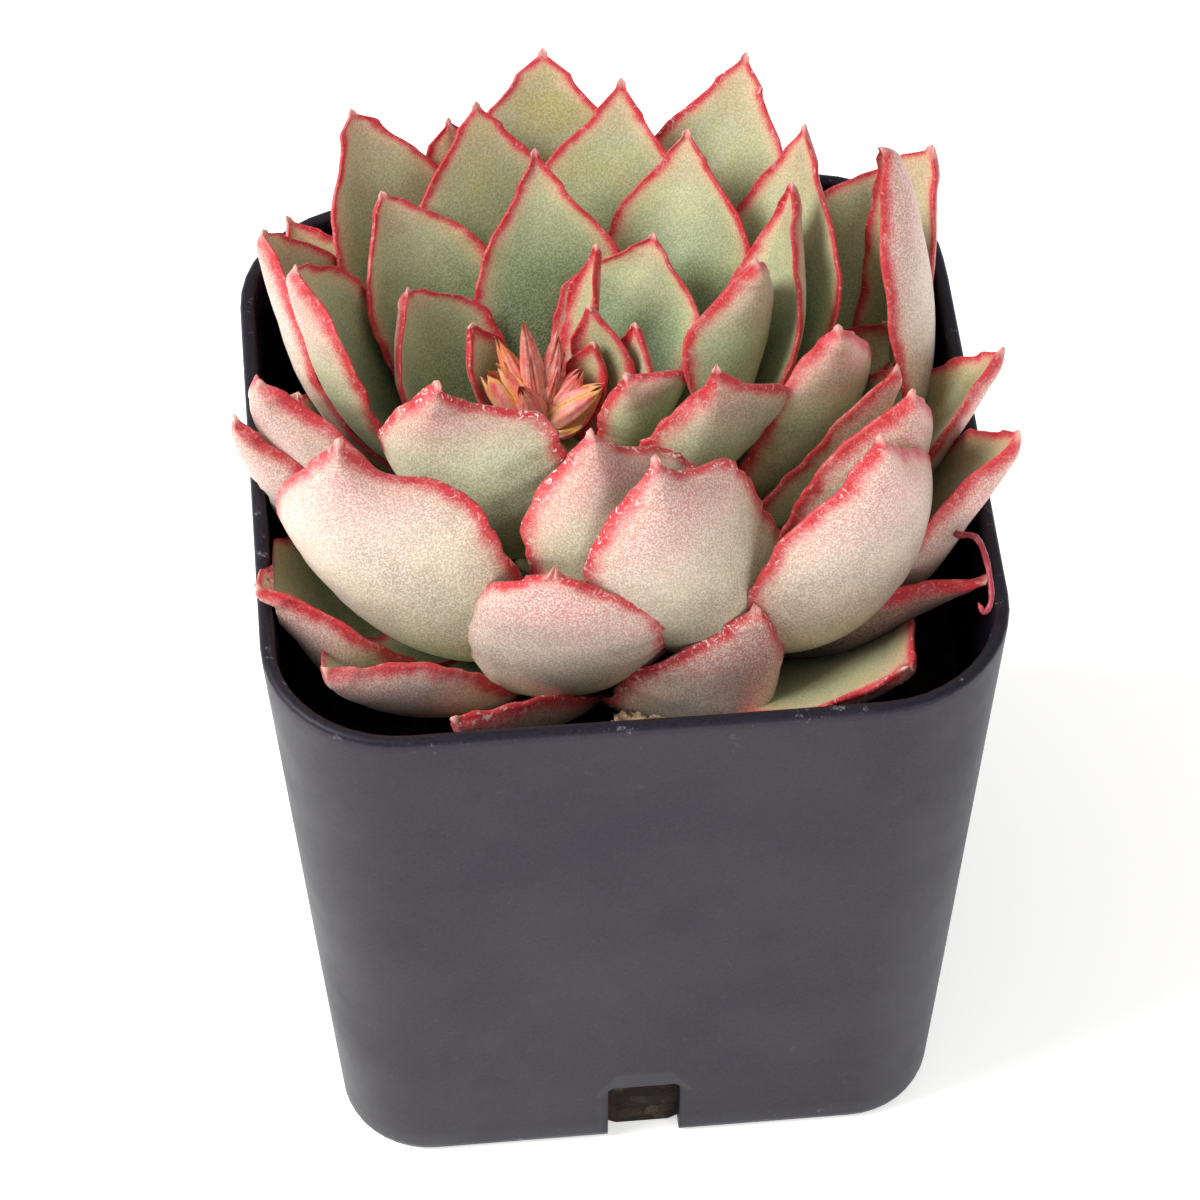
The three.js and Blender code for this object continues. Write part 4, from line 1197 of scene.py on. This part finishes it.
class SUCCULENT_OT_buds(bpy.types.Operator):
    """Flower buds, each with five petals and a few pointed sepals"""

    bl_idname = "succulent.buds"
    bl_label = "Buds"

    def execute(self, context):
        material = finished("Coral_petal", petal_skin)
        t = np.linspace(0, 1, 22)
        for number, bud in enumerate(BUDS, 1):
            draw = np.random.default_rng(SEED + number)
            tip = np.array(bud["tip"])
            base = HEART + (tip - HEART) * bud["start"]
            length = np.linalg.norm(tip - base)
            axis = (tip - base) / length
            half = bud["girth"] / 2
            # Petals stay joined until close to the tip, where each ends in its own point.
            closing = np.minimum(1, (1.03 - t) * 6)
            plans = []
            for k in range(5):
                body = half * np.sin(np.pi * np.clip(0.22 + 0.76 * t, 0, 1)) ** 0.9
                body = body + bud["gape"] * half * 1.1 * t ** 2.5
                width = np.pi / 5 * 1.2 * closing * (1 - 0.5 * bud["gape"] * t)
                plans.append((k * 2 * np.pi / 5 + number, length * draw.uniform(0.85, 1), body, width, 0))
            for k in range(5):
                tall = length * draw.uniform(0.3, 0.72)
                body = half * (0.95 + 0.25 * np.sin(np.pi * t * 0.8)) * (1 - draw.uniform(-0.1, 0.3) * t)
                width = np.pi / 5 * 0.75 * np.minimum(1, (1.02 - t) * 1.8)
                turn = k * 2 * np.pi / 5 + number * 1.3 + draw.uniform(-0.4, 0.4)
                plans.append((turn, tall, body, width, 1))
            parts, faces = [], []
            attributes = {"along": [], "rim": [], "inner": [], "sepal": [], "ripe": []}
            offset = 0
            for phase, tall, body, width, sepal in plans:
                ring, end, rim = petal(base, axis, phase, tall, body, width, 0.22)
                count = ring.shape[1]
                points = np.concatenate([ring.reshape(-1, 3), [ring[0].mean(axis=0), end]])
                faces += [[k + offset for k in f] for f in skin_faces(len(t), count)]
                offset += len(points)
                parts.append(points)
                attributes["along"] += [*np.repeat(t, count), 0, 1]
                attributes["rim"] += [*rim.ravel(), 1, 0]
                attributes["inner"] += [*np.tile(np.repeat((0, 1), count // 2), len(t)), 0, 0]
                attributes["sepal"] += [sepal] * len(points)
                attributes["ripe"] += [bud["ripe"]] * len(points)
            piece(f"flower_bud_{number}", np.concatenate(parts), faces, material, [f"bud_{number}"],
                  attributes)
        return {"FINISHED"}


def smooth_route(route, count):
    """Points spaced along a smooth curve through the route's points."""
    route = np.array(route, dtype=float)
    padded = np.concatenate([[2 * route[0] - route[1]], route, [2 * route[-1] - route[-2]]])
    spots = []
    for k in range(len(route) - 1):
        a, b, c, d = padded[k:k + 4]
        for t in np.linspace(0, 1, count, endpoint=False):
            spots.append(0.5 * (2 * b + (c - a) * t + (2 * a - 5 * b + 4 * c - d) * t ** 2
                                + (3 * b - a - 3 * c + d) * t ** 3))
    spots.append(route[-1])
    return np.array(spots)


class SUCCULENT_OT_aerial_root(bpy.types.Operator):
    """Thin root that curls over the pot's corner"""

    bl_idname = "succulent.aerial_root"
    bl_label = "Aerial root"

    def execute(self, context):
        route = smooth_route(ROOT_ROUTE, 16)
        along = unit(np.gradient(route, axis=0))
        side = unit(np.cross(along, (0, 0, 1)))
        up = np.cross(side, along)
        share = np.linspace(0, 1, len(route))
        radius = 0.26 - 0.08 * share + waves(share * 14, 5, ((2, 0.02), (0.8, 0.012)))
        radius = radius * np.minimum(1, (1.02 - share) * 12)
        angles = np.linspace(0, 2 * np.pi, 14, endpoint=False)
        spoke = side[:, None] * np.cos(angles)[:, None] + up[:, None] * np.sin(angles)[:, None]
        ring = route[:, None] + spoke * radius[:, None, None]
        points = np.concatenate([ring.reshape(-1, 3), [route[0], route[-1]]])
        piece("curling_root", points, skin_faces(len(route), len(angles)), finished("Young_root", root_skin),
              ["aerial_root"])
        return {"FINISHED"}


class SUCCULENT_OT_dried_leaf(bpy.types.Operator):
    """Shrivelled leaf behind the front wall"""

    bl_idname = "succulent.dried_leaf"
    bl_label = "Dried leaf"

    def execute(self, context):
        row = {**PLAIN, **DRIED, "ruffle": 0.6}
        u = np.linspace(0, 1, 40)
        v = np.linspace(-1, 1, 17)
        sheet = leaf_sheet(row, u, v, 77)
        crumple = waves(u * 9, 31, ((2.2, 0.3), (1.1, 0.18)))[:, None] * np.cos(v * 4)[None, :]
        upper = sheet["upper"] + sheet["face"][:, None] * crumple[..., None]
        lower = upper - sheet["face"][:, None] * 0.25
        ring = np.concatenate([lower, upper[:, ::-1]], axis=1)
        points = np.concatenate([ring.reshape(-1, 3), [ring[0].mean(axis=0), ring[-1].mean(axis=0)]])
        paper = finished("Dried_leaf_paper", dry_skin)
        piece("papery_leaf", points, skin_faces(len(u), ring.shape[1]), paper, ["dried_leaf"])
        return {"FINISHED"}


PIECE_OPERATORS = (
    SUCCULENT_OT_stage,
    SUCCULENT_OT_pot,
    SUCCULENT_OT_soil,
    SUCCULENT_OT_stem,
    SUCCULENT_OT_heart_leaves,
    SUCCULENT_OT_inner_leaves,
    SUCCULENT_OT_middle_leaves,
    SUCCULENT_OT_outer_leaves,
    SUCCULENT_OT_buds,
    SUCCULENT_OT_aerial_root,
    SUCCULENT_OT_dried_leaf,
)


class SUCCULENT_PT_panel(bpy.types.Panel):
    """Lists what builds the succulent, and its settings."""

    bl_idname = "SUCCULENT_PT_panel"
    bl_label = "Potted succulent"
    bl_space_type = "VIEW_3D"
    bl_region_type = "UI"
    bl_category = "Succulent"

    def draw(self, context):
        for operator in PIECE_OPERATORS:
            self.layout.operator(operator.bl_idname)
        for key, group in SETTINGS.items():
            box = self.layout.box()
            box.label(text=group.__doc__)
            for name in group.__annotations__:
                box.prop(getattr(context.scene, key), name)


CLASSES = (*SETTINGS.values(), *PIECE_OPERATORS, SUCCULENT_PT_panel)


def register():
    """Register the classes and put the settings on the scene."""
    for cls in CLASSES:
        bpy.utils.register_class(cls)
    for key, group in SETTINGS.items():
        setattr(bpy.types.Scene, key, bpy.props.PointerProperty(type=group))


def unregister():
    """Undo what register does."""
    for key in SETTINGS:
        delattr(bpy.types.Scene, key)
    for cls in reversed(CLASSES):
        bpy.utils.unregister_class(cls)


def main():
    """Build every piece in order."""
    register()
    for operator in PIECE_OPERATORS:
        group, name = operator.bl_idname.split(".")
        getattr(getattr(bpy.ops, group), name)()


if __name__ == "__main__":
    main()
